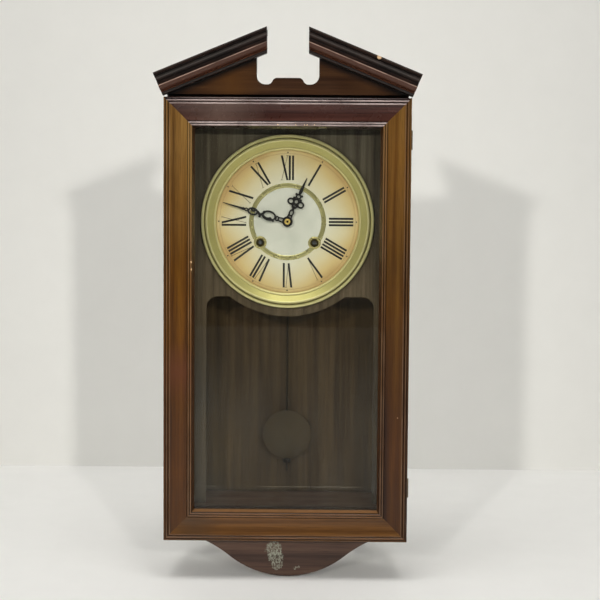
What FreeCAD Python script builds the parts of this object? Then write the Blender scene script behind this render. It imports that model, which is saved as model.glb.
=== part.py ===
import FreeCAD, Part
import math
import os
import re
import Sketcher
from FreeCAD import Placement, Rotation, Vector

# Wall-hung pendulum clock: case, glazed door, dial, movement, pendulum and strike.
# Frame: X to the right, Z up, the wall is the plane Y = 0 and the clock stands in
# front of it at negative Y. "Depth" below always means the distance from the wall.
# The origin is the hanging slot in the back.

os.makedirs("parts", exist_ok=True)
doc = FreeCAD.newDocument("wall_clock")
sheet = doc.addObject("Spreadsheet::Sheet", "Sizes")

SIZES = {
    # case
    "case_width": 300, "case_depth": 98, "side_thick": 14, "back_thick": 10,
    "side_top": 20, "side_bottom": -520, "top_thick": 16,
    "floor_top": -482, "floor_thick": 12,
    # door
    "door_width": 305, "door_top": 30, "door_bottom": -522,
    "door_back": 99, "door_front": 119, "member_width": 38,
    "glass_back": 104, "glass_front": 106, "rebate": 31, "putty_width": 5.5,
    # pediment
    "ped_base": 34, "ped_back": 98, "ped_front": 110, "ped_half": 150,
    "cornice_front": 132, "cornice_face": 28, "cornice_end": 164, "cornice_end_z": 57.2,
    "rake": 22.2, "cornice_gap": 25.6, "fret_half": 38.5, "fret_low": 46.5,
    "plateau_half": 12.5, "plateau_z": 54.5,
    # apron
    "apron_thick": 12, "apron_half": 105, "apron_drop": 571.5, "apron_shoulder": 518,
    "apron_shift": 2, "apron_step": 526,
    # dial and its board
    "dial_z": -122, "board_back": 74, "board_front": 80, "board_hole": 62,
    "opening_half": 106.5, "opening_shift": 4, "disc_radius": 120, "ear_top": -217,
    "dial_radius": 100, "dial_thick": 0.8, "dial_bore": 4.5,
    "bezel_radius": 109, "bezel_inner": 90, "ring_inner": 42.8, "ring_outer": 48.6,
    "wind_x": 34.2, "wind_drop": 26.5, "grommet_bore": 5.2, "grommet_radius": 8,
    # movement
    "plate_half": 76, "plate_up": 66, "plate_down": 78,
    "rear_plate": 34, "rear_inner": 36, "front_inner": 64, "front_plate": 66,
    "verge_z": 55.5, "pivot": 1.0, "arbor": 1.5, "wind_arbor": 3.0,
    # pendulum
    "swing_depth": 24, "pendulum_length": 336.5, "bob_radius": 32, "bob_thick": 13,
    "rod_radius": 1.2,
    # hinges and fasteners
    "hinge_x": 153.2, "hinge_depth": 98.5, "knuckle": 2.1, "hinge_height": 24,
    "hinge_pin": 0.9, "leaf_thick": 0.8, "leaf_inner": 138,
    "screw_head": 2.5, "screw_shank": 1.2, "screw_length": 9,
    # gong
    "gong_drop": 30, "gong_inner": 13, "gong_outer": 47,
}
for row, (alias, value) in enumerate(SIZES.items(), start=1):
    sheet.set(f"A{row}", alias)
    sheet.set(f"B{row}", str(value))
    sheet.setAlias(f"B{row}", alias)
doc.recompute()

FRONTWARD = Rotation(Vector(1, 0, 0), 90)      # turns a Z axis to point at the viewer
BACKWARD = Rotation(Vector(1, 0, 0), -90)      # turns a Z axis to point at the wall
UPRIGHT = Rotation()
pieces = []


def dim(text):
    """Short names of the sheet become full ones: 'case_depth / 2' -> 'Sizes.case_depth / 2'."""
    return re.sub(r"[a-z_]+", lambda word: "Sizes." + word[0] if word[0] in SIZES else word[0],
                  str(text))


def value(text):
    return float(sheet.evalExpression(dim(text)))


def bind(obj, prop, text):
    obj.setExpression(prop, dim(text))


def place(obj, x, depth, z, turn=UPRIGHT):
    obj.Placement = Placement(Vector(value(x), -value(depth), value(z)), turn)
    bind(obj, "Placement.Base.x", x)
    bind(obj, "Placement.Base.y", f"- ( {depth} )")
    bind(obj, "Placement.Base.z", z)
    return obj


def keep(obj, label):
    """Marks a finished piece, one STEP file each."""
    obj.Label = label
    pieces.append(obj)
    return obj


# ---------------------------------------------------------------- primitives

def block(x, depth, z):
    """A box between pairs of X, depth and Z limits, each written in sheet names."""
    box = doc.addObject("Part::Box", "Block")
    bind(box, "Length", f"( {x[1]} ) - ( {x[0]} )")
    bind(box, "Width", f"( {depth[1]} ) - ( {depth[0]} )")
    bind(box, "Height", f"( {z[1]} ) - ( {z[0]} )")
    return place(box, x[0], depth[1], z[0])


def rod(x, z, depth, radius, sides=0):
    """A cylinder (or a prism of so many sides) along the depth axis."""
    kind = "Part::Prism" if sides else "Part::Cylinder"
    bar = doc.addObject(kind, "Rod")
    if sides:
        bar.Polygon = sides
        bind(bar, "Circumradius", radius)
    else:
        bind(bar, "Radius", radius)
    bind(bar, "Height", f"( {depth[1]} ) - ( {depth[0]} )")
    return place(bar, x, depth[0], z, FRONTWARD)


def post(x, depth, z, radius):
    """An upright cylinder between two heights."""
    bar = doc.addObject("Part::Cylinder", "Post")
    bind(bar, "Radius", radius)
    bind(bar, "Height", f"( {z[1]} ) - ( {z[0]} )")
    return place(bar, x, depth, z[0])


def fuse(*objects):
    joined = doc.addObject("Part::MultiFuse", "Fuse")
    joined.Shapes = list(objects)
    return joined


def cut(base, *tools):
    removed = doc.addObject("Part::Cut", "Cut")
    removed.Base = base
    removed.Tool = tools[0] if len(tools) == 1 else fuse(*tools)
    return removed


def group(objects):
    """Separate solids that share one node, for identical fasteners and blocks."""
    together = doc.addObject("Part::Compound", "Group")
    together.Links = list(objects)
    return together


def coded(shape):
    """A piece whose outline is a formula, such as a toothed wheel."""
    feature = doc.addObject("Part::Feature", "Coded")
    feature.Shape = shape
    return feature


def screw(x, depth, z, turn):
    """A flush wood screw whose head starts at the given point and whose shank follows the turn."""
    head = doc.addObject("Part::Cylinder", "Head")
    bind(head, "Radius", "screw_head")
    bind(head, "Height", "leaf_thick")
    shank = doc.addObject("Part::Cylinder", "Shank")
    bind(shank, "Radius", "screw_shank")
    bind(shank, "Height", "screw_length")
    for part in (head, shank):
        place(part, x, depth, z, turn)
    return fuse(head, shank)


def screw_hole(x, depth, z, turn, lead=2):
    """Room for a screw: the head and shank with a hair of clearance."""
    along = turn.multVec(Vector(0, 0, 1))
    head = doc.addObject("Part::Cylinder", "HeadHole")
    bind(head, "Radius", "screw_head + 0.05")
    head.Height = lead + value("leaf_thick")
    place(head, x, depth, z, turn)
    back_off = along * -lead
    head.setExpression("Placement.Base.x", dim(f"( {x} ) + ( {back_off.x} )"))
    head.setExpression("Placement.Base.y", dim(f"- ( {depth} ) + ( {back_off.y} )"))
    head.setExpression("Placement.Base.z", dim(f"( {z} ) + ( {back_off.z} )"))
    shank = doc.addObject("Part::Cylinder", "ShankHole")
    bind(shank, "Radius", "screw_shank + 0.05")
    bind(shank, "Height", "screw_length + 0.1")
    place(shank, x, depth, z, turn)
    return fuse(head, shank)


# ------------------------------------------------------------ sketched bodies

def new_body():
    return doc.addObject("PartDesign::Body", "Body")


def origin_plane(body, role):
    return next(item for item in body.Origin.OriginFeatures if item.Role == role)


def fix_point(sketch, index, end, x, y):
    """Ties one end of a sketch line or arc to sheet sizes."""
    for kind, text in (("DistanceX", x), ("DistanceY", y)):
        number = sketch.addConstraint(Sketcher.Constraint(kind, -1, 1, index, end, value(text)))
        bind(sketch, f"Constraints[{number}]", text)


def outline(body, role, points, circles=()):
    """A closed outline on an origin plane.

    Each point is (x, y) for a straight run to it, or (x, y, mx, my) for an arc to it
    through the middle point. Circles are (x, y, radius).
    """
    sketch = body.newObject("Sketcher::SketchObject", "Outline")
    sketch.AttachmentSupport = [(origin_plane(body, role), "")]
    sketch.MapMode = "FlatFace"
    spots = [Vector(value(p[0]), value(p[1]), 0) for p in points]
    for k, point in enumerate(points):
        start, stop = spots[k - 1], spots[k]
        if len(point) == 4:
            middle = Vector(value(point[2]), value(point[3]), 0)
            index = sketch.addGeometry(Part.ArcOfCircle(start, middle, stop), False)
            stop_end = 2 if sketch.getPoint(index, 2).distanceToPoint(stop) < 1e-6 else 1
            fix_point(sketch, index, stop_end, point[0], point[1])
            fix_point(sketch, index, 3 - stop_end, points[k - 1][0], points[k - 1][1])
        else:
            index = sketch.addGeometry(Part.LineSegment(start, stop), False)
            fix_point(sketch, index, 1, points[k - 1][0], points[k - 1][1])
            fix_point(sketch, index, 2, point[0], point[1])
    for x, y, radius in circles:
        centre = Vector(value(x), value(y), 0)
        index = sketch.addGeometry(Part.Circle(centre, Vector(0, 0, 1), value(radius)), False)
        fix_point(sketch, index, 3, x, y)
        number = sketch.addConstraint(Sketcher.Constraint("Radius", index, value(radius)))
        bind(sketch, f"Constraints[{number}]", radius)
    return sketch


def pad(body, sketch, length, both_ways=False):
    feature = body.newObject("PartDesign::Pad", "Pad")
    feature.Profile = sketch
    feature.SideType = "Symmetric" if both_ways else "One side"
    bind(feature, "Length", length)
    body.Tip = feature
    return feature


def pocket(body, sketch, length):
    """Cuts both ways from the sketch plane."""
    feature = body.newObject("PartDesign::Pocket", "Pocket")
    feature.Profile = sketch
    feature.Type = "Length"
    feature.SideType = "Symmetric"
    bind(feature, "Length", length)
    body.Tip = feature
    return feature


def revolve(body, sketch, axis_role):
    feature = body.newObject("PartDesign::Revolution", "Turned")
    feature.Profile = sketch
    axis = next(item for item in body.Origin.OriginFeatures if item.Role == axis_role)
    feature.ReferenceAxis = (axis, [""])
    feature.Angle = 360
    body.Tip = feature
    return feature


def turned(points, x, depth, z):
    """A part turned about the depth axis; its points are (radius, height towards the viewer)."""
    body = new_body()
    profile = outline(body, "XZ_Plane", points)
    revolve(body, profile, "Z_Axis")
    place(body, x, depth, z, FRONTWARD)
    return body


# ------------------------------------------------------------------ wheelwork

def polar(radius, angle):
    return Vector(radius * math.cos(angle), 0, radius * math.sin(angle))


def face_from(points):
    return Part.Face(Part.makePolygon(points + [points[0]]))


def disc(radius, thick, start=0.0):
    """A disc whose back face lies at the given depth offset, growing towards the viewer."""
    return Part.makeCylinder(radius, thick, Vector(0, -start, 0), Vector(0, -1, 0))


def gear(teeth, module, thick, start, phase=0.0, slim=0.74, addendum=0.85):
    """A toothed disc. Flanks are straight from root to tip, slimmed to leave backlash."""
    pitch_radius = module * teeth / 2
    root, tip = pitch_radius - 1.15 * module, pitch_radius + addendum * module
    pitch_angle = 2 * math.pi / teeth
    half = pitch_angle / 4 * slim
    points = []
    for tooth in range(teeth):
        middle = phase + tooth * pitch_angle
        for radius, share in ((root, -1.25), (tip, -0.45), (tip, 0.45), (root, 1.25)):
            points.append(polar(radius, middle + share * half))
    shape = face_from(points).extrude(Vector(0, -thick, 0))
    shape.translate(Vector(0, -start, 0))
    return shape


def mesh_phase(teeth, other_teeth, other_phase, direction):
    """Phase that puts a gap of this wheel against a tooth of its neighbour.

    direction is the angle from the neighbour's centre to this wheel's centre.
    """
    shift = (direction - other_phase) * other_teeth / (2 * math.pi)
    return direction + math.pi - (2 * math.pi / teeth) * (0.5 - shift)


def crossed(wheel, inner, outer, spokes, width, thick, start):
    """Cuts the windows between the spokes of a wheel."""
    band = disc(outer, thick, start).cut(disc(inner, thick, start))
    for spoke in range(spokes):
        bar = Part.makeBox(outer + 1, thick, width, Vector(0, -start - thick, -width / 2))
        bar.rotate(Vector(0, 0, 0), Vector(0, -1, 0), 360.0 * spoke / spokes)
        band = band.cut(bar)
    return wheel.cut(band)


def saw_wheel(teeth, root, tip, thick, start, lean):
    """Saw-toothed disc for the ratchets and the escape wheel."""
    points = []
    for tooth in range(teeth):
        angle = 2 * math.pi * tooth / teeth
        points.append(polar(root, angle))
        points.append(polar(tip, angle + lean * 2 * math.pi / teeth))
        points.append(polar(tip, angle + (lean + 0.08) * 2 * math.pi / teeth))
    shape = face_from(points).extrude(Vector(0, -thick, 0))
    shape.translate(Vector(0, -start, 0))
    return shape


def spiral(inner, outer, turns, strip, width, start):
    """A flat coiled strip, as for a mainspring or a gong."""
    def edge(offset):
        steps = turns * 12
        spots = []
        for k in range(steps + 1):
            radius = inner + (outer - inner) * k / steps + offset
            spots.append(polar(radius, 2 * math.pi * k / 12))
        curve = Part.BSplineCurve()
        curve.interpolate(spots)
        return curve.toShape()
    low, high = edge(0.0), edge(strip)
    ends = [Part.makeLine(low.valueAt(low.FirstParameter), high.valueAt(high.FirstParameter)),
            Part.makeLine(low.valueAt(low.LastParameter), high.valueAt(high.LastParameter))]
    face = Part.Face(Part.Wire([low, ends[1], high.reversed(), ends[0]]))
    shape = face.extrude(Vector(0, -width, 0))
    shape.translate(Vector(0, -start, 0))
    return shape


def shaft(radius, start, stop):
    return disc(radius, stop - start, start)


def joined(*shapes):
    return shapes[0].fuse(list(shapes[1:])).removeSplitter()


def set_at(shape, x, z):
    """A coded piece put on its own arbor; x and z are measured from the dial centre."""
    feature = coded(shape)
    spot_on_clock = Placement(Vector(x, 0, value("dial_z") + z), UPRIGHT)
    feature.Placement = spot_on_clock.multiply(shape.Placement)
    return feature


# ------------------------------------------------------------------- carcase

side_inner = "( case_width / 2 - side_thick )"
hinge_heights = ("door_top - 62", "door_bottom + 53")

bracket_screws = []
for side in (-1, 1):
    for height in ("dial_z + 45", "dial_z - 62"):
        bracket_screws.append((f"{68 * side}", "12.8", height, BACKWARD))
gong_screw = ("0", "17.8", "dial_z - gong_drop", BACKWARD)
hanger_screws = [("0", "0", height, FRONTWARD) for height in ("14", "-30")]
hanger_recess = block(("-13", "13"), ("-1", "2"), ("-34", "20"))
nail_room = block(("-6", "6"), ("-1", "8"), ("-26", "6"))
backboard = cut(
    block((f"- {side_inner}", side_inner), ("0", "back_thick"), ("side_bottom", "side_top")),
    hanger_recess, nail_room,
    *[screw_hole(*where) for where in bracket_screws + [gong_screw]],
    *[screw_hole(*where) for where in hanger_screws])
keep(backboard, "backboard")

slot = fuse(rod("0", "-20", ("-1", "3"), "5"), rod("0", "0", ("-1", "3"), "2.6"),
            block(("-2.6", "2.6"), ("-1", "3"), ("-20", "0")))
hanger = cut(block(("-12.9", "12.9"), ("0", "2"), ("-33.9", "19.9")), slot,
             *[screw_hole(*where) for where in hanger_screws])
keep(hanger, "hanger_plate")

leaf_pockets = []
case_hinge_screws = []
for height in hinge_heights:
    leaf_pockets.append(block(("leaf_inner", "case_width / 2 + 1"),
                              ("case_depth - leaf_thick", "case_depth + 1"),
                              (height, f"{height} + hinge_height")))
    for offset in (6, 18):
        case_hinge_screws.append(("144", "case_depth", f"{height} + {offset}", BACKWARD))

left = block(("- case_width / 2", f"- {side_inner}"), ("0", "case_depth"),
             ("side_bottom", "side_top"))
keep(left, "side_left")
right = cut(block((side_inner, "case_width / 2"), ("0", "case_depth"),
                  ("side_bottom", "side_top")),
            *leaf_pockets, *[screw_hole(*spot) for spot in case_hinge_screws])
keep(right, "side_right")

keep(block(("- case_width / 2", "case_width / 2"), ("0", "case_depth"),
           ("side_top", "side_top + top_thick")), "top_board")
keep(block((f"- {side_inner}", side_inner), ("back_thick", "case_depth"),
           ("floor_top - floor_thick", "floor_top")), "bottom_board")

# glue blocks: four behind the dial board, two behind the pediment, two behind the apron
glue = []
for side in (-1, 1):
    near, far = (f"- {side_inner}", "- 118") if side < 0 else ("118", side_inner)
    for low in (-70, -440):
        glue.append(block((near, far), ("board_back - 16", "board_back"),
                          (f"{low}", f"{low} + 60")))
    x_span = ("-110", "-70") if side < 0 else ("70", "110")
    glue.append(block(x_span, ("ped_back - 14", "ped_back"),
                      ("side_top + top_thick", "side_top + top_thick + 14")))
    glue.append(block(x_span, ("case_depth - apron_thick - 14", "case_depth - apron_thick"),
                      ("floor_top - floor_thick - 14", "floor_top - floor_thick")))
keep(group(glue), "glue_blocks")

# ------------------------------------------------------------------ pediment

panel_cover = "6 / cos( rake * 1deg )"


def rake_height(x, drop="0"):
    """Height of the raking line at x, lowered by drop."""
    return f"cornice_end_z + ( cornice_end - ( {x} ) ) * tan( rake * 1deg ) - ( {drop} )"


pediment = new_body()
right_half = [
    ("ped_half", "ped_base"),
    ("ped_half", rake_height("ped_half", panel_cover)),
    ("fret_half", rake_height("fret_half", panel_cover)),
    ("fret_half", "fret_low + 11"),
    ("fret_half - 11", "fret_low", "fret_half - 3.2", "fret_low + 3.2"),
    ("fret_half - 12.5", "fret_low"),
    ("plateau_half + 6.7", "( fret_low + plateau_z ) / 2", "fret_half - 17", "fret_low + 1.2"),
    ("plateau_half", "plateau_z", "plateau_half + 4.6", "plateau_z - 1.2"),
]


def mirrored(point):
    flipped = list(point)
    for k in (0, 2):
        if k < len(flipped):
            flipped[k] = f"- ( {flipped[k]} )"
    return flipped


left_half = []
for k in range(len(right_half) - 1, -1, -1):
    spot = mirrored(right_half[k])[:2]
    if k < len(right_half) - 1 and len(right_half[k + 1]) == 4:
        spot += mirrored(right_half[k + 1])[2:]
    left_half.append(tuple(spot))
panel = outline(pediment, "XZ_Plane", right_half + left_half)
pad(pediment, panel, "ped_front - ped_back")
place(pediment, "0", "ped_back", "0")
keep(pediment, "pediment_panel")

# cornice profile as (depth behind its own back, height above its lower edge)
cornice_profile = [
    ("0", "cornice_face"),
    ("cornice_front - ped_back", "cornice_face"),
    ("cornice_front - ped_back", "cornice_face - 4"),
    ("cornice_front - ped_back - 1", "cornice_face - 4"),
    ("cornice_front - ped_back - 6.5", "cornice_face - 10.5",
     "cornice_front - ped_back - 5", "cornice_face - 6.6"),
    ("cornice_front - ped_back - 5.4", "cornice_face - 11.6"),
    ("cornice_front - ped_back - 13", "5.6", "cornice_front - ped_back - 7.2", "7.6"),
    ("cornice_front - ped_back - 12.2", "4.6"),
    ("cornice_front - ped_back - 17", "0.4", "cornice_front - ped_back - 13", "1.6"),
    ("ped_front - ped_back", "0.4"),
    ("ped_front - ped_back", "cornice_face - 6"),
    ("0", "cornice_face - 6"),
]


def cornice(side, label):
    """One raking cornice: its profile pushed along the rake, square outside, plumb inside."""
    body = new_body()
    flipped = [[f"- ( {p[0]} )", p[1]] + ([f"- ( {p[2]} )", p[3]] if len(p) == 4 else [])
               for p in cornice_profile]
    profile = outline(body, "YZ_Plane", flipped)
    length = "( cornice_end - cornice_gap ) / cos( rake * 1deg ) + 12"
    run = pad(body, profile, length)
    run.Reversed = side > 0
    # the plumb cut, drawn in the raked frame of the moulding
    far = f"{'- ' if side > 0 else ''}( {length} )"
    top_x = f"{'- ' if side > 0 else ''}( ( cornice_end - cornice_gap ) / cos( rake * 1deg ) )"
    shift = "cornice_face * tan( rake * 1deg )"
    low_x = f"{top_x} {'+' if side > 0 else '-'} {shift}"
    waste = outline(body, "XZ_Plane", [
        (low_x, "0"),
        (top_x, "cornice_face"),
        (top_x, "cornice_face + 1"),
        (f"{far} {'-' if side > 0 else '+'} 20", "cornice_face + 1"),
        (f"{far} {'-' if side > 0 else '+'} 20", "-1"),
        (low_x, "-1"),
    ])
    pocket(body, waste, "200")
    tilt = Rotation(Vector(0, 1, 0), value("rake") * side)
    drop = Vector(value("cornice_face") * math.sin(math.radians(value("rake"))), 0,
                  value("cornice_face") * math.cos(math.radians(value("rake"))))
    place(body, f"{side} * ( cornice_end - {drop.x} )", "ped_back",
          f"cornice_end_z - {drop.z}", tilt)
    keep(body, label)


cornice(-1, "cornice_left")
cornice(1, "cornice_right")

# -------------------------------------------------------------------- apron

apron = new_body()
apron_outline = outline(apron, "XZ_Plane", [
    (f"- {side_inner}", "floor_top - floor_thick"),
    (side_inner, "floor_top - floor_thick"),
    (side_inner, "- apron_shoulder"),
    ("apron_shift + apron_half", "- apron_shoulder"),
    ("apron_shift + apron_half", "- apron_step"),
    ("apron_shift + apron_half * 0.7", "- apron_drop + 26",
     "apron_shift + apron_half * 0.85", "- apron_drop + 37"),
    ("apron_shift", "- apron_drop", "apron_shift + apron_half * 0.38", "- apron_drop + 7"),
    ("apron_shift - apron_half * 0.7", "- apron_drop + 26",
     "apron_shift - apron_half * 0.38", "- apron_drop + 7"),
    ("apron_shift - apron_half", "- apron_step",
     "apron_shift - apron_half * 0.85", "- apron_drop + 37"),
    ("apron_shift - apron_half", "- apron_shoulder"),
    (f"- {side_inner}", "- apron_shoulder"),
])
pad(apron, apron_outline, "apron_thick")
place(apron, "0", "case_depth - apron_thick", "0")
keep(apron, "apron")

# --------------------------------------------------------------------- door

# moulding of the door members as (distance in from the outer edge, depth from the front)
door_profile = [
    ("0", "door_front - door_back"),
    ("0", "2"),
    ("2", "0", "0.6", "0.6"),
    ("2.6", "1.1"),
    ("5.4", "1.1", "3.9", "0.1"),
    ("6", "1.6"),
    ("7.4", "0.6", "6.5", "0.85"),
    ("28.8", "3", "18", "2.5"),
    ("29.4", "3.6"),
    ("32.2", "3.6", "30.8", "2.1"),
    ("35.2", "3.6", "33.7", "2.1"),
    ("member_width - 0.4", "door_front - glass_front - 0.8"),
    ("member_width - 0.4", "door_front - glass_front"),
    ("rebate", "door_front - glass_front"),
    ("rebate", "door_front - door_back"),
]


def door_member(upright, side, label, extra_cuts=()):
    """A mitred stile or rail; side is -1 for left or bottom and +1 for right or top."""
    body = new_body()
    extent = "door_width" if upright else "( door_top - door_bottom )"
    edge = f"{side} * {extent} / 2"
    points = []
    for spot in door_profile:
        bound = []
        for k in range(0, len(spot), 2):
            across, behind = f"{edge} - {side} * ( {spot[k]} )", spot[k + 1]
            bound += [across, behind] if upright else [behind, across]
        points.append(tuple(bound))
    profile = outline(body, "XY_Plane" if upright else "YZ_Plane", points)
    length = "door_top - door_bottom" if upright else "door_width"
    pad(body, profile, length, both_ways=True)
    reach = "member_width + 2"
    for end in (-1, 1):
        far = f"{end} * ( {length} ) / 2"
        corner = [(edge, far), (f"{edge} - {side} * ( {reach} )", far),
                  (f"{edge} - {side} * ( {reach} )", f"{far} - {end} * ( {reach} )")]
        if not upright:
            corner = [(b, a) for a, b in corner]
        pocket(body, outline(body, "XZ_Plane", corner), "100")
    place(body, "0", "door_front", "( door_top + door_bottom ) / 2")
    piece = cut(body, *extra_cuts) if extra_cuts else body
    return keep(piece, label)


door_hinge_screws = []
stile_cuts = []
for height in hinge_heights:
    stile_cuts.append(block(("leaf_inner", "door_width / 2 + 1"),
                            ("door_back - 1", "door_back + leaf_thick"),
                            (height, f"{height} + hinge_height")))
    stile_cuts.append(post("hinge_x", "hinge_depth",
                           (f"{height} - 0.4", f"{height} + hinge_height + 0.4"),
                           "knuckle + 0.3"))
    for offset in (6, 18):
        spot = ("144", "door_back", f"{height} + {offset}", FRONTWARD)
        door_hinge_screws.append(spot)
        stile_cuts.append(screw_hole(*spot))

door_member(True, -1, "door_stile_left")
door_member(True, 1, "door_stile_right", stile_cuts)
door_member(False, 1, "door_rail_top")
door_member(False, -1, "door_rail_bottom")

glass_x = "( door_width / 2 - rebate - 0.5 )"
glass_top = "door_top - rebate - 0.5"
glass_low = "door_bottom + rebate + 0.5"
keep(block((f"- {glass_x}", glass_x), ("glass_back", "glass_front"), (glass_low, glass_top)),
     "door_glass")
putty = cut(block((f"- {glass_x}", glass_x), ("door_back + 0.5", "glass_back"),
                  (glass_low, glass_top)),
            block((f"- {glass_x} + putty_width", f"{glass_x} - putty_width"),
                  ("door_back", "glass_back + 1"),
                  (f"{glass_low} + putty_width", f"{glass_top} - putty_width")))
keep(putty, "glass_putty")

# ------------------------------------------------------------------- hinges

case_leaves = []
door_leaves = []
for height in hinge_heights:
    third = "hinge_height / 3"
    plate = block(("leaf_inner + 0.05", "case_width / 2"),
                  ("case_depth - leaf_thick + 0.02", "case_depth"),
                  (f"{height} + 0.05", f"{height} + hinge_height - 0.05"))
    knuckles = []
    for low, high in (("0.05", f"{third} - 0.15"), (f"2 * {third} + 0.15", "hinge_height - 0.05")):
        span = (f"{height} + {low}", f"{height} + {high}")
        knuckles.append(post("hinge_x", "hinge_depth", span, "knuckle"))
        knuckles.append(block(("case_width / 2 - 1", "hinge_x - 1"),
                              ("case_depth - leaf_thick + 0.02", "case_depth"), span))
    knuckles.append(post("hinge_x", "hinge_depth",
                         (f"{height} + 0.05", f"{height} + hinge_height - 0.05"), "hinge_pin"))
    holes = [screw_hole(*spot) for spot in case_hinge_screws if spot[2].startswith(height)]
    case_leaves.append(cut(fuse(plate, *knuckles), *holes))
    plate = block(("leaf_inner + 0.05", "door_width / 2 - 3"),
                  ("door_back", "door_back + leaf_thick - 0.02"),
                  (f"{height} + 0.05", f"{height} + hinge_height - 0.05"))
    span = (f"{height} + {third} + 0.15", f"{height} + 2 * {third} - 0.15")
    web = block(("door_width / 2 - 4", "hinge_x - 1"),
                ("door_back", "door_back + leaf_thick - 0.02"), span)
    barrel = cut(fuse(post("hinge_x", "hinge_depth", span, "knuckle"), web),
                 post("hinge_x", "hinge_depth", (height, f"{height} + hinge_height"),
                      "hinge_pin + 0.05"))
    holes = [screw_hole(*spot) for spot in door_hinge_screws if spot[2].startswith(height)]
    door_leaves.append(cut(fuse(plate, barrel), *holes))
keep(group(case_leaves), "hinge_case_leaves")
keep(group(door_leaves), "hinge_door_leaves")
keep(group([screw(*spot) for spot in door_hinge_screws]), "door_screws")
keep(group([screw(*spot) for spot in
            case_hinge_screws + bracket_screws + [gong_screw] + hanger_screws]), "case_screws")

# friction catch: a tongue on the door between two leaves on the case side
catch_z = -246
tongue = fuse(block(("-134", "-122"), ("door_back - 0.8", "door_back"),
                    (f"{catch_z} - 12", f"{catch_z} + 12")),
              block(("-131", "-129"), ("86", "door_back - 0.4"),
                    (f"{catch_z} - 5", f"{catch_z} + 5")))
keep(tongue, "catch_tongue")
clip = fuse(block((f"- {side_inner}", f"- {side_inner} + 0.8"), ("83", "95"),
                  (f"{catch_z} - 9", f"{catch_z} + 9")),
            block((f"- {side_inner}", "-127"), ("84", "94"),
                  (f"{catch_z} + 5.5", f"{catch_z} + 6.3")),
            block((f"- {side_inner}", "-127"), ("84", "94"),
                  (f"{catch_z} - 6.3", f"{catch_z} - 5.5")))
keep(clip, "catch_clip")

# ---------------------------------------------------------- dial and its board

ear_left, ear_right = "( opening_shift - opening_half )", "( opening_shift + opening_half )"
ear_in = "sqrt( disc_radius ^ 2 - ( dial_z - ear_top ) ^ 2 )"
mask = new_body()
mask_outline = outline(mask, "XZ_Plane", [
    (f"- {side_inner}", "side_top"),
    (f"- {side_inner}", "floor_top"),
    (ear_left, "floor_top"),
    (ear_left, "ear_top - 14"),
    (f"{ear_left} + 16", "ear_top", f"{ear_left} + 4.8", "ear_top - 4.1"),
    (f"- ( {ear_in} )", "ear_top"),
    (ear_in, "ear_top", "0", "dial_z - disc_radius"),
    (f"{ear_right} - 16", "ear_top"),
    (ear_right, "ear_top - 14", f"{ear_right} - 4.8", "ear_top - 4.1"),
    (ear_right, "floor_top"),
    (side_inner, "floor_top"),
    (side_inner, "side_top"),
], circles=[("0", "dial_z", "board_hole")])
pad(mask, mask_outline, "board_front - board_back")
place(mask, "0", "board_back", "0")
keep(mask, "dial_board")

wind_z = "dial_z - wind_drop"
dial = new_body()
dial_outline = outline(dial, "XZ_Plane", [], circles=[
    ("0", "dial_z", "dial_radius"),
    ("0", "dial_z", "dial_bore"),
    ("wind_x", wind_z, "grommet_bore + 0.9"),
    ("- wind_x", wind_z, "grommet_bore + 0.9"),
])
pad(dial, dial_outline, "dial_thick")
place(dial, "0", "board_front", "0")
keep(dial, "dial")

bezel = turned([
    ("bezel_radius", "0"),
    ("bezel_radius", "4"),
    ("bezel_radius - 5.2", "8.2", "bezel_radius - 1.4", "8.4"),
    ("bezel_radius - 5.8", "8.8"),
    ("bezel_inner + 1", "3.2", "bezel_inner + 6.4", "7.2"),
    ("bezel_inner", "2.6"),
    ("bezel_inner", "dial_thick + 0.05"),
    ("dial_radius + 0.3", "dial_thick + 0.05"),
    ("dial_radius + 0.3", "0"),
], "0", "board_front", "dial_z")
keep(bezel, "bezel")

grommet_points = [
    ("grommet_bore", "-3"),
    ("grommet_bore + 0.8", "-3"),
    ("grommet_bore + 0.8", "0"),
    ("grommet_radius", "0"),
    ("grommet_radius", "0.6"),
    ("grommet_bore", "1.9", "grommet_bore + 1.7", "1.9"),
]
grommets = [turned(grommet_points, x, "board_front + dial_thick", wind_z)
            for x in ("- wind_x", "wind_x")]
keep(group(grommets), "winding_grommets")

ring = turned([
    ("ring_inner", "0"),
    ("ring_outer", "0"),
    ("ring_outer", "0.4"),
    ("ring_inner", "0.4", "( ring_inner + ring_outer ) / 2", "1.5"),
], "0", "board_front + dial_thick", "dial_z")
ring_cuts = [rod(x, wind_z, ("board_front", "board_front + 5"), "grommet_radius + 0.1")
             for x in ("- wind_x", "wind_x")]
keep(cut(ring, *ring_cuts), "dial_center_ring")

# ---------------------------------------------------------------- the hands

def oval(x, z, wide, tall):
    """An upright or lying ellipse as a flat face."""
    major, minor = Vector(0, 0, tall / 2), Vector(wide / 2, 0, 0)
    if wide > tall:
        major, minor = minor, major
    middle = Vector(x, 0, z)
    curve = Part.Ellipse(middle + major, middle + minor, middle)
    return Part.Face(Part.Wire(curve.toShape()))


def loop(x, z, wide, tall, line):
    """A pierced oval of the given outer size and line width."""
    return oval(x, z, wide, tall).cut(oval(x, z, wide - 2 * line, tall - 2 * line - 0.1))


def taper(z_low, z_high, low_width, high_width):
    return face_from([Vector(-low_width / 2, 0, z_low), Vector(low_width / 2, 0, z_low),
                      Vector(high_width / 2, 0, z_high), Vector(-high_width / 2, 0, z_high)])


def dot(x, z, radius):
    return Part.Face(Part.Wire(Part.makeCircle(radius, Vector(x, 0, z), Vector(0, 1, 0))))


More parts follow.
